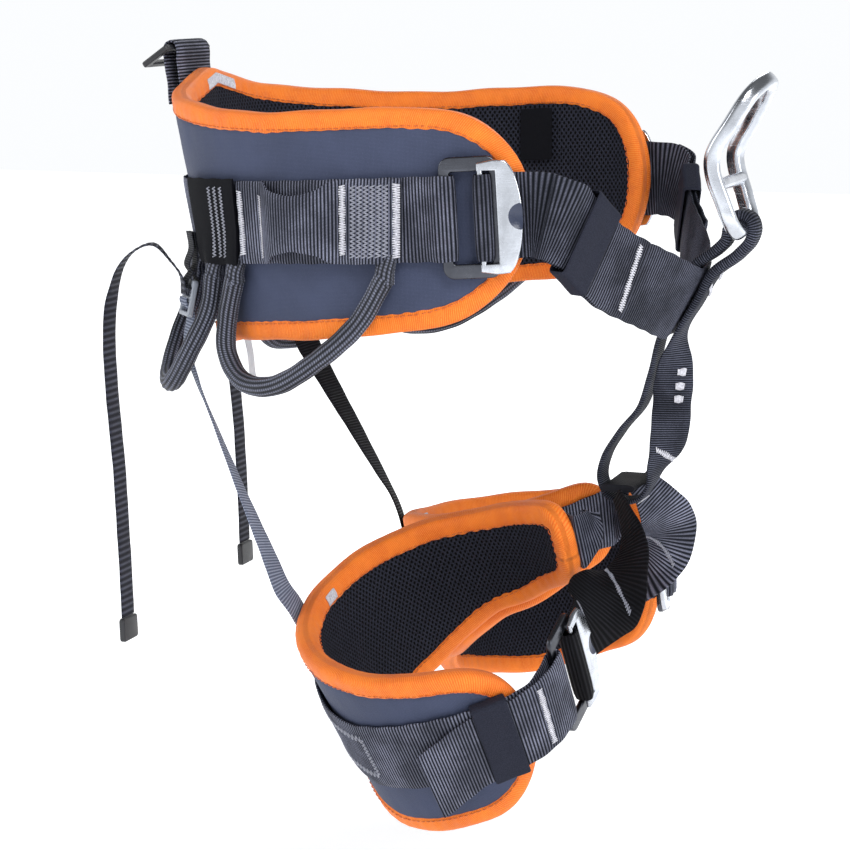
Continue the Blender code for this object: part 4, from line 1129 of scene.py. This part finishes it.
def belt_overlays(side, word, white, grey):
    places = [(s, OVERLAY) for s in spread(0.100, 0.146, 12)]
    sleeve = Strap(flip(wall_stations(BELT, places, 0.0238), side), rise=0.00004, rib=0.0012)
    sleeve.away_from((0, 0, 0))
    sleeve.bulge = root_bulge(-0.100)
    sleeve.build(f"{word}_sleeve_cloth", "belt", "sleeve", "smooth_elastic", [f"{word}_belt_sleeve"])
    for s in (0.026, 0.0315, 0.037):
        grey.zigzag(sleeve, (s, -0.0195), (s, 0.0195), 0.0026, 0.0019)
    stations = []
    for s, c, half in (
        (0.149, 0, 22.5), (0.158, 0, 22.5), (0.167, 0.2, 22.5), (0.171, 3.5, 21.5), (0.177, 7.0, 18.0),
        (0.186, 8.6, 15.5), (0.196, 8.6, 15.5), (0.205, 7.0, 18.0), (0.211, 3.5, 21.5),
        (0.215, 0.2, 22.5), (0.225, 0, 22.5), (0.235, 0, 22.5), (0.243, 0.1, 22.5), (0.2495, 0.7, 22.5),
    ):
        stations += wall_stations(BELT, [(s, OVERLAY + c / 1000)], half / 1000)
    loop = Strap(flip(stations, side)).away_from((0, 0, 0))
    loop.bulge = lambda at, across: root_bulge(-0.149)(at, across) * (np.abs(at - 0.035) > 0.028)
    loop.build(f"{word}_lanyard_webbing", "belt", nodes=[f"{word}_lanyard_loop"])
    tacks = []
    for s, low, high, width in ((0.1512, -0.0175, 0.0175, 0.0036), (0.1668, -0.0190, 0.0150, 0.0032),
                                (0.2165, -0.0175, 0.0195, 0.0044), (0.2475, -0.0195, 0.0195, 0.0044)):
        tacks.append(loop.near(mirrored(BELT.at(s, 0, OVERLAY), side)))
        white.tack(loop, tacks[-1], low, high, width)
    for s in spread(tacks[2] + 0.0065, tacks[3] - 0.0065, 6):
        grey.zigzag(loop, (s, -0.0190), (s, 0.0190), 0.0030, 0.0022)


FRONT_GEAR_LOOP = (
    (0.142, -0.030, 0.0068), (0.133, -0.052, 0.0085), (0.133, -0.073, 0.012), (0.150, -0.088, 0.014),
    (0.177, -0.088, 0.014), (0.205, -0.073, 0.012), (0.227, -0.054, 0.009), (0.241, -0.030, 0.0068),
)
REAR_GEAR_LOOP = (
    (0.120, -0.030, 0.0068), (0.120, -0.050, 0.0135), (0.113, -0.072, 0.0250), (0.098, -0.091, 0.0330),
    (0.070, -0.091, 0.0330), (0.056, -0.072, 0.0250), (0.049, -0.050, 0.0135), (0.048, -0.032, 0.0068),
)


def corded(radius, twist=0.0, wide=1.0, high=1.0):
    """A round section with a ridge for each cord of the tube."""
    turn = turns(CORDS * 6)
    return ring(radius * (0.962 + 0.038 * np.cos(CORDS * turn + twist)), turn, wide, high)


def gear_loop(word, side, which, places):
    """A tube with its ends flattened where they go under the belt's webbing."""
    name, up = f"{word}_{which}_gear_loop", BELT.frame(places[0][0]).to_3x3() @ UNIT_X

    def tube(piece, points, section_at, body, nodes=()):
        line = [mirrored(p, side) for p in smooth_line(points, 0.0016)]
        sections = np.array([section_at(k, len(line)) for k in range(len(line))])
        sweep(f"{name}_{piece}", line, sections, body, "tubular", "tubular_webbing", nodes,
              up=mirrored(up, side), cords=CORDS)

    tube("tube", [BELT.at(*place) for place in places],
         lambda k, count: corded(0.0056 * (1 + 0.018 * math.sin(k * 0.61)), 0.12 * k), name, [name])
    for end, (s, z, c) in (("first", places[0]), ("last", places[-1])):
        tube(f"{end}_root", [BELT.at(s, z - 0.0035, c), BELT.at(s, z + 0.002, c),
                             BELT.at(s, z + 0.009, 0.0042), BELT.at(s, z + 0.017, 0.0016)],
             lambda k, count: corded(0.0054, 0.0, 1 + 0.35 * min(1.0, k / (count - 4)),
                                     1 - 0.62 * min(1.0, k / (count - 4))), "belt")


# ---- metal and plastic ----
def rounded_box(x0, x1, y0, y1, radius, steps=8):
    """Outline of a rectangle with round corners, anticlockwise."""
    corners = ((x1, y1, 0), (x0, y1, 90), (x0, y0, 180), (x1, y0, 270))
    points = []
    for x, y, start in corners:
        middle = Vector((x - math.copysign(radius, x - (x0 + x1) / 2),
                         y - math.copysign(radius, y - (y0 + y1) / 2)))
        for k in range(steps + 1):
            angle = math.radians(start + 90 * k / steps)
            points.append(middle + radius * Vector((math.cos(angle), math.sin(angle))))
    return points


def shown_mesh(obj):
    """A new mesh of an object as its modifiers leave it."""
    bpy.context.view_layer.update()
    return bpy.data.meshes.new_from_object(obj.evaluated_get(bpy.context.evaluated_depsgraph_get()))


def plate(name, outlines, thickness, matrix, body, look, slot, nodes, round_edge, edge_look=None):
    """A flat plate with rounded edges: the first outline is its edge and the others are holes."""
    curve = bpy.data.curves.new(name + "_outline", "CURVE")
    curve.dimensions = "2D"
    curve.fill_mode = "BOTH"
    curve.extrude = thickness / 2 - round_edge
    curve.bevel_depth = round_edge
    curve.bevel_resolution = 3
    curve.offset = -round_edge
    for outline in outlines:
        spline = curve.splines.new("POLY")
        spline.points.add(len(outline) - 1)
        for target, point in zip(spline.points, outline):
            target.co = (point[0], point[1], 0.0, 1.0)
        spline.use_cyclic_u = True
    helper = link(bpy.data.objects.new(name + "_outline", curve))
    mesh = shown_mesh(helper)
    bpy.data.objects.remove(helper)
    mesh.name = name
    work = bmesh.new()
    work.from_mesh(mesh)
    bmesh.ops.remove_doubles(work, verts=work.verts, dist=1e-6)
    work.normal_update()
    # The rounded edges, between the flat faces and the sides, take the second material.
    if edge_look:
        for face in work.faces:
            face.material_index = 1 if 0.08 < abs(face.normal.z) < 0.98 else 0
    work.transform(matrix)
    bmesh.ops.recalc_face_normals(work, faces=work.faces)
    work.to_mesh(mesh)
    work.free()
    mesh.shade_smooth()
    mesh.set_sharp_from_angle(angle=math.radians(40))
    obj = bpy.data.objects.new(name, mesh)
    mesh.materials.clear()
    mesh.materials.append(LOOKS[look])
    if edge_look:
        mesh.materials.append(LOOKS[edge_look])
    return finish_piece(obj, body, None, slot, nodes)


def round_bar(name, first, last, radius, body, look, slot):
    line = [Vector(first).lerp(Vector(last), k / 12) for k in range(13)]
    sweep(name, line, ring(radius, turns(24)), body, look, slot)


def buckle(prefix, matrix, side):
    matrix = Matrix.Scale(side, 4, UNIT_X) @ matrix
    holder = f"{prefix}_buckle_plate"
    edge = rounded_box(0, 0.0310, -0.0320, 0.0320, 0.006)
    opening = rounded_box(0.0055, 0.0265, -0.0242, 0.0242, 0.0015)
    plate(f"{prefix}_buckle_rim", [edge, opening], 0.0030, matrix @ Matrix.Translation((0, 0, FRAME_LIFT)),
          "belt" if prefix.endswith("belt") else f"{prefix}_loop", "dark_alloy", "dark_alloy",
          [f"{prefix}_buckle_frame"], 0.0008, "bright_bevel")
    arc = [(0.0325 + 0.0110 * math.cos(t), 0.0305 * math.sin(t)) for t in
           (math.radians(a) for a in range(-75, 76, 3))]
    outline = [
        (0.0203, -0.0242), (0.0203, -0.0285), (0.0290, -0.0300), *arc,
        (0.0290, 0.0300), (0.0203, 0.0285), (0.0203, 0.0242), (0.0300, 0.0242), (0.0300, -0.0242),
    ]
    lift = matrix @ Matrix.Translation((0, 0, PLATE_LIFT))
    crescent = plate(f"{prefix}_buckle_crescent", [outline], 0.0026, lift, holder, "alloy",
                     "polished_alloy", [holder], 0.0009)
    round_bar(f"{prefix}_buckle_bar", lift @ Vector((BAR_AT, -0.0262, 0)),
              lift @ Vector((BAR_AT, 0.0262, 0)), BAR_R, holder, "alloy", "polished_alloy")
    scoop(crescent, lift @ Vector((0.0430, 0, 0.0134)), 0.0140)


def scoop(obj, centre, radius):
    """Presses a shallow round hollow into a plate and colours it dark blue as painted shade in the hollow.
    """
    mesh = bpy.data.meshes.new("scoop")
    work = bmesh.new()
    bmesh.ops.create_uvsphere(work, u_segments=72, v_segments=48, radius=radius)
    work.to_mesh(mesh)
    work.free()
    mesh.materials.append(LOOKS["recess"])
    cutter = link(bpy.data.objects.new("scoop", mesh))
    cutter.location = centre
    obj.data.materials.append(LOOKS["recess"])
    cut = obj.modifiers.new("scoop", "BOOLEAN")
    cut.operation, cut.solver, cut.material_mode, cut.object = "DIFFERENCE", "EXACT", "TRANSFER", cutter
    made = shown_mesh(obj)
    obj.modifiers.remove(cut)
    obj.data = made
    made.shade_smooth()
    made.set_sharp_from_angle(angle=math.radians(24))
    bpy.data.objects.remove(cutter)


def ventral_ring():
    half = [
        (0.0, -0.1890, -0.0095), (0.0170, -0.1890, -0.0095), (0.0235, -0.1875, -0.0050),
        (0.0262, -0.1840, 0.0050), (0.0280, -0.1775, 0.0300), (0.0255, -0.1875, 0.0500),
        (0.0190, -0.1960, 0.0650), (0.0095, -0.2000, 0.0705), (0.0, -0.2010, 0.0720),
    ]
    points = [Vector(p) for p in half] + [mirrored(p, -1) for p in half[-2:0:-1]]
    line = closed_line(points, 0.0014)
    turn, power = turns(32), 3.2
    radius = 0.004531 / (np.abs(np.cos(turn)) ** power + np.abs(np.sin(turn)) ** power) ** (1 / power)
    section = ring(radius, turn + math.pi / 4)
    sweep("ring_bow", line, section, "ventral_ring", "alloy", "polished_alloy", ["ventral_ring"],
          closed=True, sharp=60, up=(0, 1, 0.2))
    round_bar("ring_crossbar", (-0.0265, -0.1812, 0.0160), (0.0265, -0.1812, 0.0160), 0.0036,
              "ventral_ring", "alloy", "polished_alloy")


# ---- front: strap, folds, keepers and tie-in loop ----
PLATE_WRAP = (
    (26.9, 8.0), (26.6, 9.4), (25.5, 10.9),
    *bar_wrap(BAR_AT * 1000, PLATE_LIFT * 1000, BAR_R * 1000 + 1.5, 65, 195, 5),
    (18.9, 6.0), (19.6, 3.7), (21.8, 2.2), (25.0, 1.85), (32.0, 1.85), (39.0, 1.75), (45.5, 1.4),
)


def front_strap():
    wrap = frame_stations(BELT.frame(BELT_BUCKLE), PLATE_WRAP)
    start = wrap[-1][0]
    ahead = (wrap[-1][0] - wrap[-2][0]).normalized()
    up = wrap[-1][1].normalized()
    target = STRAP_CROSSING + Vector((0.014, 0, 0))
    over_end = start + ahead * 0.018 - up * 0.005
    line = smooth_line([start, over_end, over_end.lerp(target, 0.36) + Vector((0.005, 0, -0.006)),
                        over_end.lerp(target, 0.72) + Vector((0.003, -0.003, -0.004)), target,
                        STRAP_CROSSING],
                       0.012)[1:]
    straps = wrap + follow(line, start, lambda share: up.lerp(STRAP_SLOPE, share ** 1.5),
                           lambda share: WEB / 2)
    straps[-1] = (STRAP_CROSSING, square_to(STRAP_SLOPE, UNIT_X) * WEB / 2)
    strap = Strap(straps + flip(straps, -1)[-2::-1]).facing(-UNIT_Y)
    # The darker front webbing is painted shade over the load webbing.
    strap.build("front_strap_webbing", "belt", "front_webbing", nodes=["front_strap"])
    return straps


def offset_stations(stations, distance, out):
    moved = []
    for k, (middle, half) in enumerate(stations):
        along = stations[min(k + 1, len(stations) - 1)][0] - stations[max(k - 1, 0)][0]
        normal = along.cross(half).normalized()
        if normal.dot(out) < 0:
            normal = -normal
        moved.append((middle + normal * distance, half))
    return moved


def strap_folds(straps, side, word):
    fold = offset_stations(straps[len(PLATE_WRAP):-6], FOLD_OFF, Vector((0.3, -1, 0)))
    strap = Strap(flip(fold, side)[::side]).away_from((0, 0, 0))
    # The darker front webbing is painted shade over the load webbing.
    strap.build(f"{word}_fold_webbing", "belt", "front_webbing", nodes=[f"{word}_front_strap_fold"])
    middle, half = fold[3]
    along = (fold[4][0] - fold[2][0]).normalized()
    inward = along.cross(half).normalized()
    if inward.y < 0:
        inward = -inward
    at = middle + inward * FOLD_OFF / 2
    name = f"{word}_front_strap_keeper"
    keeper(name, mirrored(at, side), mirrored(along, side), mirrored(half, side), 0.0120, WEB / 2 + 0.0024,
           LAYER + 0.0023, 0.0011)
    white = Threads(f"{word}_fold_bar_tack", "belt", "white")
    ends = (0.006, strap.length - 0.006)
    last = max(ends, key=lambda s: -strap.point(s, 0).y)
    white.tack(strap, last, -0.0185, 0.0185, 0.0038, slant=0.10)
    white.build()


def keeper(name, middle, along, up, half_length, half_width, half_height, wall):
    """An elastic sleeve round a strap, drawn in a little at its middle."""
    along = along.normalized()
    up = square_to(up, along)
    out = along.cross(up)
    rings, uvs = [], []
    ends = spread(-1, 1, 25)
    for share, grow in [(e, wall) for e in ends] + [(e, 0.0) for e in reversed(ends)]:
        soft = wall * 0.55 * (abs(share) > 0.98)
        size = grow - (soft if grow else -soft * 0.3)
        outline = rounded_box(-half_width - size, half_width + size, -half_height - size,
                              half_height + size, min(half_height, 0.0014 + size), steps=5)
        slim = 1 - 0.006 * (1 - share * share) if grow else 1.0
        round_it = 0.0
        for k, p in enumerate(outline):
            wave = 0.00012 * math.sin(p.x * 420 + share * 5) * (grow > 0)
            rings.append(middle + along * (half_length * share) + up * p.x * slim + out * (p.y + wave))
            uvs.append((half_length * share, round_it))
            round_it += (outline[(k + 1) % len(outline)] - p).length
    around = len(outline)
    obj = mesh_object(f"{name}_elastic", rings, ring_faces(2 * len(ends), around, True), uvs, 60)
    return finish_piece(obj, name, "elastic", "smooth_elastic", [name])


TIE_IN_LOOP = (
    (-0.1890, -0.0024, 8, 0), (-0.1940, -0.0044, 8, 0), (-0.1961, -0.0095, 8, 0), (-0.1945, -0.0165, 8, 0),
    (-0.1880, -0.0240, 8, 0), (-0.1745, -0.0345, 9, 0), (-0.1640, -0.0530, 9.5, 0),
    (-0.1535, -0.0740, 10, -12), (-0.1520, -0.0850, 10.5, -42), (-0.1510, -0.0970, 11, -70),
    (-0.1500, -0.1120, 11, -76), (-0.1490, -0.1280, 11, -68), (-0.1465, -0.1410, 10.5, -44),
    (-0.1410, -0.1510, 10, -14), (-0.1384, -0.1590, 9.5, 0), (-0.1330, -0.1670, 9.5, 0),
    (-0.1240, -0.1695, 9.5, 0), (-0.1150, -0.1670, 9.5, 0), (-0.1098, -0.1580, 9.5, 0),
    (-0.1120, -0.1440, 10.5, 0), (-0.1210, -0.1290, 11, 0), (-0.1330, -0.1130, 11, 0),
    (-0.1385, -0.0950, 10.5, 0), (-0.1440, -0.0730, 10, 0), (-0.1530, -0.0500, 9, 0),
    (-0.1645, -0.0300, 8, 0), (-0.1760, -0.0215, 8, 0), (-0.1805, -0.0165, 8, 0), (-0.1820, -0.0095, 8, 0),
    (-0.1840, -0.0044, 8, 0),
)


def tie_in_loop():
    stations = []
    for y, z, half, twist in TIE_IN_LOOP:
        wide = Matrix.Rotation(math.radians(twist), 3, "Z") @ Vector((half / 1000, 0, 0))
        stations.append((Vector((0, y, z)), wide))
    loop = Strap(stations, thickness=0.0030, rib=FINE_RIB, rise=0.00009, closed=True,
                 plump=lambda middles: 1 + 1.1 * np.clip((middles[:, 2:] + 0.070) / 0.035, 0, 1))
    loop.facing(-UNIT_Y, 0.06)
    loop.build("tie_in_webbing", "belt", "tie_in", nodes=["tie_in_loop"])
    white = Threads("tie_in_bar_tacks", "belt", "white")
    for y, z in ((-0.1518, -0.0930), (-0.1508, -0.1010), (-0.1503, -0.1085)):
        s = loop.near((0, y, z))
        for face in (1, -1):
            white.tack(loop, s, 0.0012, 0.0060, 0.0040, pitch=0.0007, face=face, lift=0.0009)
    for y, z, slant in ((-0.1745, -0.0345, 0.5), (-0.1680, -0.0440, 0.5), (-0.1465, -0.1410, 0.5),
                        (-0.1330, -0.1670, 0.0), (-0.1240, -0.1695, 0.0)):
        s = loop.near((0, y, z))
        white.tack(loop, s, -0.0075, 0.0075, 0.0030, slant=slant)
    white.build()
    stations = [(JUNCTION + x * UNIT_X, JUNCTION_HALF_WIDTH * UNIT_Y) for x in
                spread(-JUNCTION_HALF, JUNCTION_HALF, 5)]
    Strap(stations, thickness=0.0040).build("junction_webbing", "belt", "near_black",
                                            nodes=["leg_junction_strap"])


# ---- rear: loop and slide buckle ----
def rear_loop():
    foot = [BELT.at(0, z, OVERLAY) for z in (-0.020, 0.000, 0.024)]
    foot += [BELT.at(0, z, GAP + LAYER) for z in (0.045, 0.066)]
    up = [Vector((0, 0.1472, 0.0780))]
    centre, radius = Vector((0, 0.1515, 0.0870)), 0.0038
    bight = [centre + radius * Vector((0, -math.cos(t), math.sin(t))) for t in
             (math.radians(a) for a in (10, 50, 90, 130, 170))]
    down = [Vector((0, 0.1552, 0.0780)), Vector((0, 0.1535, 0.0660)), Vector((0, 0.1525, 0.0540))]
    stations = [(p, Vector((-WEB / 2, 0, 0))) for p in foot + up + bight + down]
    strap = Strap(stations).facing(UNIT_Y, 0.1)
    strap.build("rear_loop_strap", "belt", nodes=["rear_loop_webbing"])
    white = Threads("rear_loop_bar_tacks", "belt", "white")
    grey = Threads("rear_loop_seams", "belt", "grey")
    for s in (0.004, 0.036):
        white.tack(strap, s, -0.0195, 0.0195, 0.0026)
    for v in (-0.015, 0.0, 0.015):
        grey.zigzag(strap, (0.007, v), (0.033, v), 0.0042, 0.0028)
    white.build()
    grey.build()
    lie = Matrix.Translation(centre) @ Matrix.Rotation(math.radians(145), 4, "X")
    edge = rounded_box(-0.0300, 0.0300, -0.0180, 0.0018, 0.0019)
    slot = rounded_box(-0.0245, 0.0245, -0.0140, -0.0018, 0.0015)
    plate("slide_buckle_body", [edge, slot], 0.0034, lie, "rear_slide_buckle", "black_plastic",
          "black_plastic", ["rear_slide_buckle"], 0.0009)


def care_label():
    stations = [between(BELT.at(-0.062, z, -0.0135), BELT.at(-0.036, z, -0.0135))
                for z in spread(-0.052, -0.097, 12)]
    label = Strap(stations, thickness=0.0006, rise=0.0, step=0.0012, wobble=0.0006)
    label.build("blank_care_label", "belt", "label", "label", ["care_label"])


# ---- leg loops ----
def leg_webbing_line(wall):
    stations = [(Vector((0.0305, JUNCTION.y + 0.0135, -0.1715)), Vector((0, 0.0065, 0)))]
    outer_face = CURVE_GAP + LAYER / 2
    inner = math.degrees(LEG_PAD_INNER)

    def on_wall(degrees, c, drop=0.0):
        angle = math.radians(degrees)
        middle = wall.webbing_at(angle) - drop
        half = WEB / 2 - 0.006 * clamp((-60 - degrees) / 60)
        c += LEG_BUCKLE_INSET * 0.75 * clamp((degrees - 134) / 14) + 0.0010 * clamp((degrees - 95) / 10)
        return between(wall.at(angle, middle - half, c), wall.at(angle, middle + half, c))

    leaving = on_wall(inner - 6, outer_face)
    top = stations[0]
    for share in (0.30, 0.60, 0.85):
        middle = top[0].lerp(leaving[0], share) + Vector((-0.0044, -0.0038, 0.0)) * math.sin(math.pi * share)
        stations.append((middle, top[1].lerp(leaving[1], share ** 0.8)))
    degrees = inner - 6
    while degrees < math.degrees(LEG_BUCKLE) - 14:
        stations.append(on_wall(degrees, outer_face))
        degrees += 8.6
    return stations, on_wall


def leg_loop(side, word):
    wall, body = LEGS[word], f"{word}_leg_loop"
    leg_pad(side, word)
    stations, on_wall = leg_webbing_line(wall)
    frame_at = wall.frame(LEG_BUCKLE) @ Matrix.Translation((0, 0, LEG_BUCKLE_INSET))
    frame_at = frame_at @ Matrix.Rotation(LEG_BUCKLE_TURN, 4, "Y")
    stations += frame_stations(frame_at, [
        (-10, 1.5), (-3, 1.5), (4.4, 1.75), (6.7, 2.6), (7.6, 4.9), (6.7, 7.3), (4.4, 8.1), (0, 8.2),
        (-6, 7.9), (-12, 7.2),
    ])
    tail = [on_wall(*place_at) for place_at in (
        (138, 0.0066, 0.000), (130, 0.0052, 0.001), (121, 0.0046, 0.002), (112, 0.0046, 0.004),
        (104, 0.0056, 0.009), (97, 0.0076, 0.014), (91, 0.0096, 0.018),
    )]
    strap = Strap(flip(stations + tail, side)).away_from(mirrored(wall.at(0, 0, -LEG_R), side), 0.35)
    strap.build(f"{word}_leg_load_webbing", body, nodes=[f"{word}_leg_webbing"])
    grey = Threads(f"{word}_leg_seams", body, "grey")
    white = Threads(f"{word}_leg_bar_tacks", body, "white")
    for ends, spacing in (((-118, -84), 0.010), ((20, 64), 0.0135)):
        first, last = (strap.near(mirrored(on_wall(degrees, CURVE_GAP + LAYER / 2)[0], side))
                       for degrees in ends)
        for v in (-spacing, spacing):
            grey.zigzag(strap, (first, v), (last, v), 0.0040, 0.0034)
        for s in (first, last):
            grey.zigzag(strap, (s, -spacing), (s, spacing), 0.0030, 0.0024)
    white.tack(strap, strap.near(mirrored(on_wall(140, 0.0070)[0], side)), -0.0185, 0.0185, 0.0034, face=-1)
    white.tack(strap, 0.010, -0.0060, 0.0060, 0.0030)
    grey.build()
    white.build()
    leg_front_strap(frame_at, side, word)
    buckle(f"{word}_leg", frame_at, side)
    keeper_at, keeper_up = on_wall(121, 0.0033, 0.001)
    ahead = on_wall(117, 0.0033, 0.001)[0] - on_wall(125, 0.0033, 0.001)[0]
    keeper(f"{word}_leg_keeper", mirrored(keeper_at, side), mirrored(ahead, side),
           mirrored(keeper_up, side), 0.0100, WEB / 2 + 0.0030, 0.0032, 0.0009)


def leg_front_strap(frame_at, side, word):
    stations = frame_stations(frame_at, PLATE_WRAP)
    start, half = stations[-1]
    ahead = (start - stations[-2][0]).normalized()
    top = Vector((0.0240, JUNCTION.y - 0.0010, -0.1620))
    line = smooth_line([start, start + ahead * 0.012, start.lerp(top, 0.45) + Vector((-0.006, -0.014, 0.0)),
                        top.lerp(start, 0.22) + Vector((-0.003, -0.012, -0.004)), top], 0.010)[1:]
    flat = Vector((-0.8, 0.6, 0))

    def way_at(share):
        turn = min(1.0, share / 0.75)
        return half.normalized().lerp(flat, turn * turn * (3 - 2 * turn))

    def width_at(share):
        return WEB / 2 - (WEB / 2 - JUNCTION_HALF_WIDTH) * clamp((share - 0.5) / 0.5)

    stations += follow(line, start, way_at, width_at)
    strap = Strap(flip(stations, side)).away_from(mirrored(LEGS[word].at(0, 0, -LEG_R), side), 0.6)
    # The right strap's near-black webbing is painted shade; the left one has the load webbing.
    strap.build(f"{word}_leg_front_webbing", f"{word}_leg_loop",
                "near_black" if word == "right" else "webbing", nodes=[f"{word}_leg_front_strap"])
    grey = Threads(f"{word}_leg_front_seams", f"{word}_leg_loop", "grey")
    for start_at in (0.36, 0.60):
        s = strap.length * start_at
        for face in (1, -1):
            grey.tack(strap, s, -0.0160, 0.0160, 0.0022, face=face, slant=0.55)
    grey.build()


# ---- risers ----
def riser(side, word):
    wall = LEGS[word]
    frame_at = BELT.frame(RISER_AT, -0.046)
    pivot = frame_at @ Vector((0, 0.0085, 0.0118))
    lie = (Matrix.Translation(pivot) @ frame_at.to_3x3().to_4x4()
           @ Matrix.Rotation(math.radians(-12), 4, "X"))
    edge = rounded_box(-0.0130, 0.0130, -0.0190, 0.0020, 0.0019)
    slots = [rounded_box(-0.0098, 0.0098, low, high, 0.0008) for low, high in
             ((-0.0076, -0.0020), (-0.0164, -0.0112))]
    mirror = Matrix.Scale(side, 4, UNIT_X)
    holder = f"{word}_riser_ladder_lock"
    plate(f"{word}_ladder_lock_body", [edge, *slots], 0.0030, mirror @ lie, holder, "grey_plastic",
          "grey_plastic", [holder], 0.0007)
    across = (lie.to_3x3() @ UNIT_X).normalized()

    hanger = []
    for up, out in ((-0.008, 0.0046), (-0.018, 0.0047), (-0.027, 0.0062)):
        hanger.append(BELT.at(RISER_AT, up, out))
    for t in spread(-160, 20, 7):
        angle = math.radians(t)
        hanger.append(lie @ Vector((0, 0.0033 * math.sin(angle), 0.0033 * math.cos(angle + math.pi))))
    for up, out in ((-0.0270, 0.0108), (-0.018, 0.0066), (-0.008, 0.0060)):
        hanger.append(BELT.at(RISER_AT, up, out))
    tape = Strap(flip([(p, across * 0.0080) for p in hanger], side), thickness=0.0009, rib=FINE_RIB,
                 rise=0.00007, step=0.0005, wobble=0.0)
    tape.build(f"{word}_hanger_tape", "belt", "fine_webbing", nodes=[f"{word}_riser_hanger"])

    upper = [(-8.6, 2.9), (-10.8, 2.9), (-12.8, 1.6), (-13.8, 0.0), (-14.6, -1.6), (-16.4, -2.9),
             (-22, -3.1), (-30, -3.1)]
    stations = [(lie @ Vector((0, y / 1000, z / 1000)), across * RISER_HALF) for y, z in upper]
    start = stations[-1][0]
    angle = math.radians(RISER_FOOT[word])
    leg_across = (wall.at(angle + 0.07, 0.05) - wall.at(angle - 0.07, 0.05)).normalized()
    foot = [wall.at(angle, up, out) for up, out in
            ((0.066, 0.0040), (0.054, 0.0021), (0.042, 0.0018), (0.028, 0.0018))]
    line = smooth_line([start, start + Vector((0, -0.006, -0.026)), *foot], 0.020)[1:]
    reach = len(line) / (len(line) - 3)  # the strap's width lies along the leg's pad from there on
    stations += follow(line, start, lambda share: across.lerp(leg_across, min(1.0, share * reach)),
                       lambda share: RISER_HALF)
    strap = Strap(flip(stations, side), thickness=0.0014, rib=0.0017, rise=0.00012, wobble=0.0001)
    # The risers are one elastic, drawn as a lit copy on the right (light blue-grey riser elastic) and a
    # shaded copy on the left (near-black webbing): painted light and shade.
    look = "riser" if word == "right" else "near_black"
    riser_strap = strap.build(f"{word}_riser_webbing", None, look, "riser_elastic",
                              [f"{word}_riser_strap"])
    mirrored(start, side)
    mirrored(foot[0], side)
    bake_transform(riser_strap)
    riser_tail(side, word, lie, across, mirror, holder)


def riser_tail(side, word, lie, across, mirror, holder):
    bulge, tip_y, tip_z = RISER_TAIL[word]
    first, second = lie @ Vector((0, -0.0070, 0.0032)), lie @ Vector((0, 0.0020, 0.0062))
    x = first.x
    tip = Vector((x - 0.001, tip_y, tip_z))
    hang = [Vector((x, bulge + y, z)) for y, z in
            ((-0.0270, -0.0225), (-0.0110, -0.0290), (-0.0010, -0.0480), (0.0030, -0.0850))]
    low = first.lerp(tip, 0.6) + Vector((0, bulge - 0.143, 0))
    line = smooth_line([first, second, *hang, low, tip], 0.0125)
    stations = [(point, across.lerp(UNIT_X, min(1.0, k / 7)).normalized() * TAIL_WIDTH / 2)
                for k, point in enumerate(line)]
    strap = Strap(flip(stations, side), thickness=0.0012, rib=0.0036, rise=0.00010, step=0.0007,
                  wobble=0.0001)
    tail = strap.build(f"{word}_tail_elastic", holder, "tail", "riser_elastic", [f"{word}_riser_tail"])
    down = (line[-1] - line[-2]).normalized()
    box = rounded_box(-0.0090, 0.0090, -0.0070, 0.0070, 0.0020)
    tip_at = axes(tip + down * 0.0075, UNIT_X, -down, UNIT_X.cross(-down))
    end = plate(f"{word}_tail_tip_body", [box], 0.0036, mirror @ tip_at, holder, "black_plastic",
                "black_plastic", [f"{word}_riser_tail_tip"], 0.0009)
    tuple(strap.middles[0])


def build_saddle():
    belt_pad()
    belt_webbing()
    straps = front_strap()
    tie_in_loop()
    ventral_ring()
    rear_loop()
    care_label()
    for side, word in SIDES:
        gear_loop(word, side, "front", FRONT_GEAR_LOOP)
        gear_loop(word, side, "rear", REAR_GEAR_LOOP)
        buckle(f"{word}_belt", BELT.frame(BELT_BUCKLE), side)
        strap_folds(straps, side, word)
        leg_loop(side, word)
        riser(side, word)


camera_and_light()
pale_floor()
build_saddle()
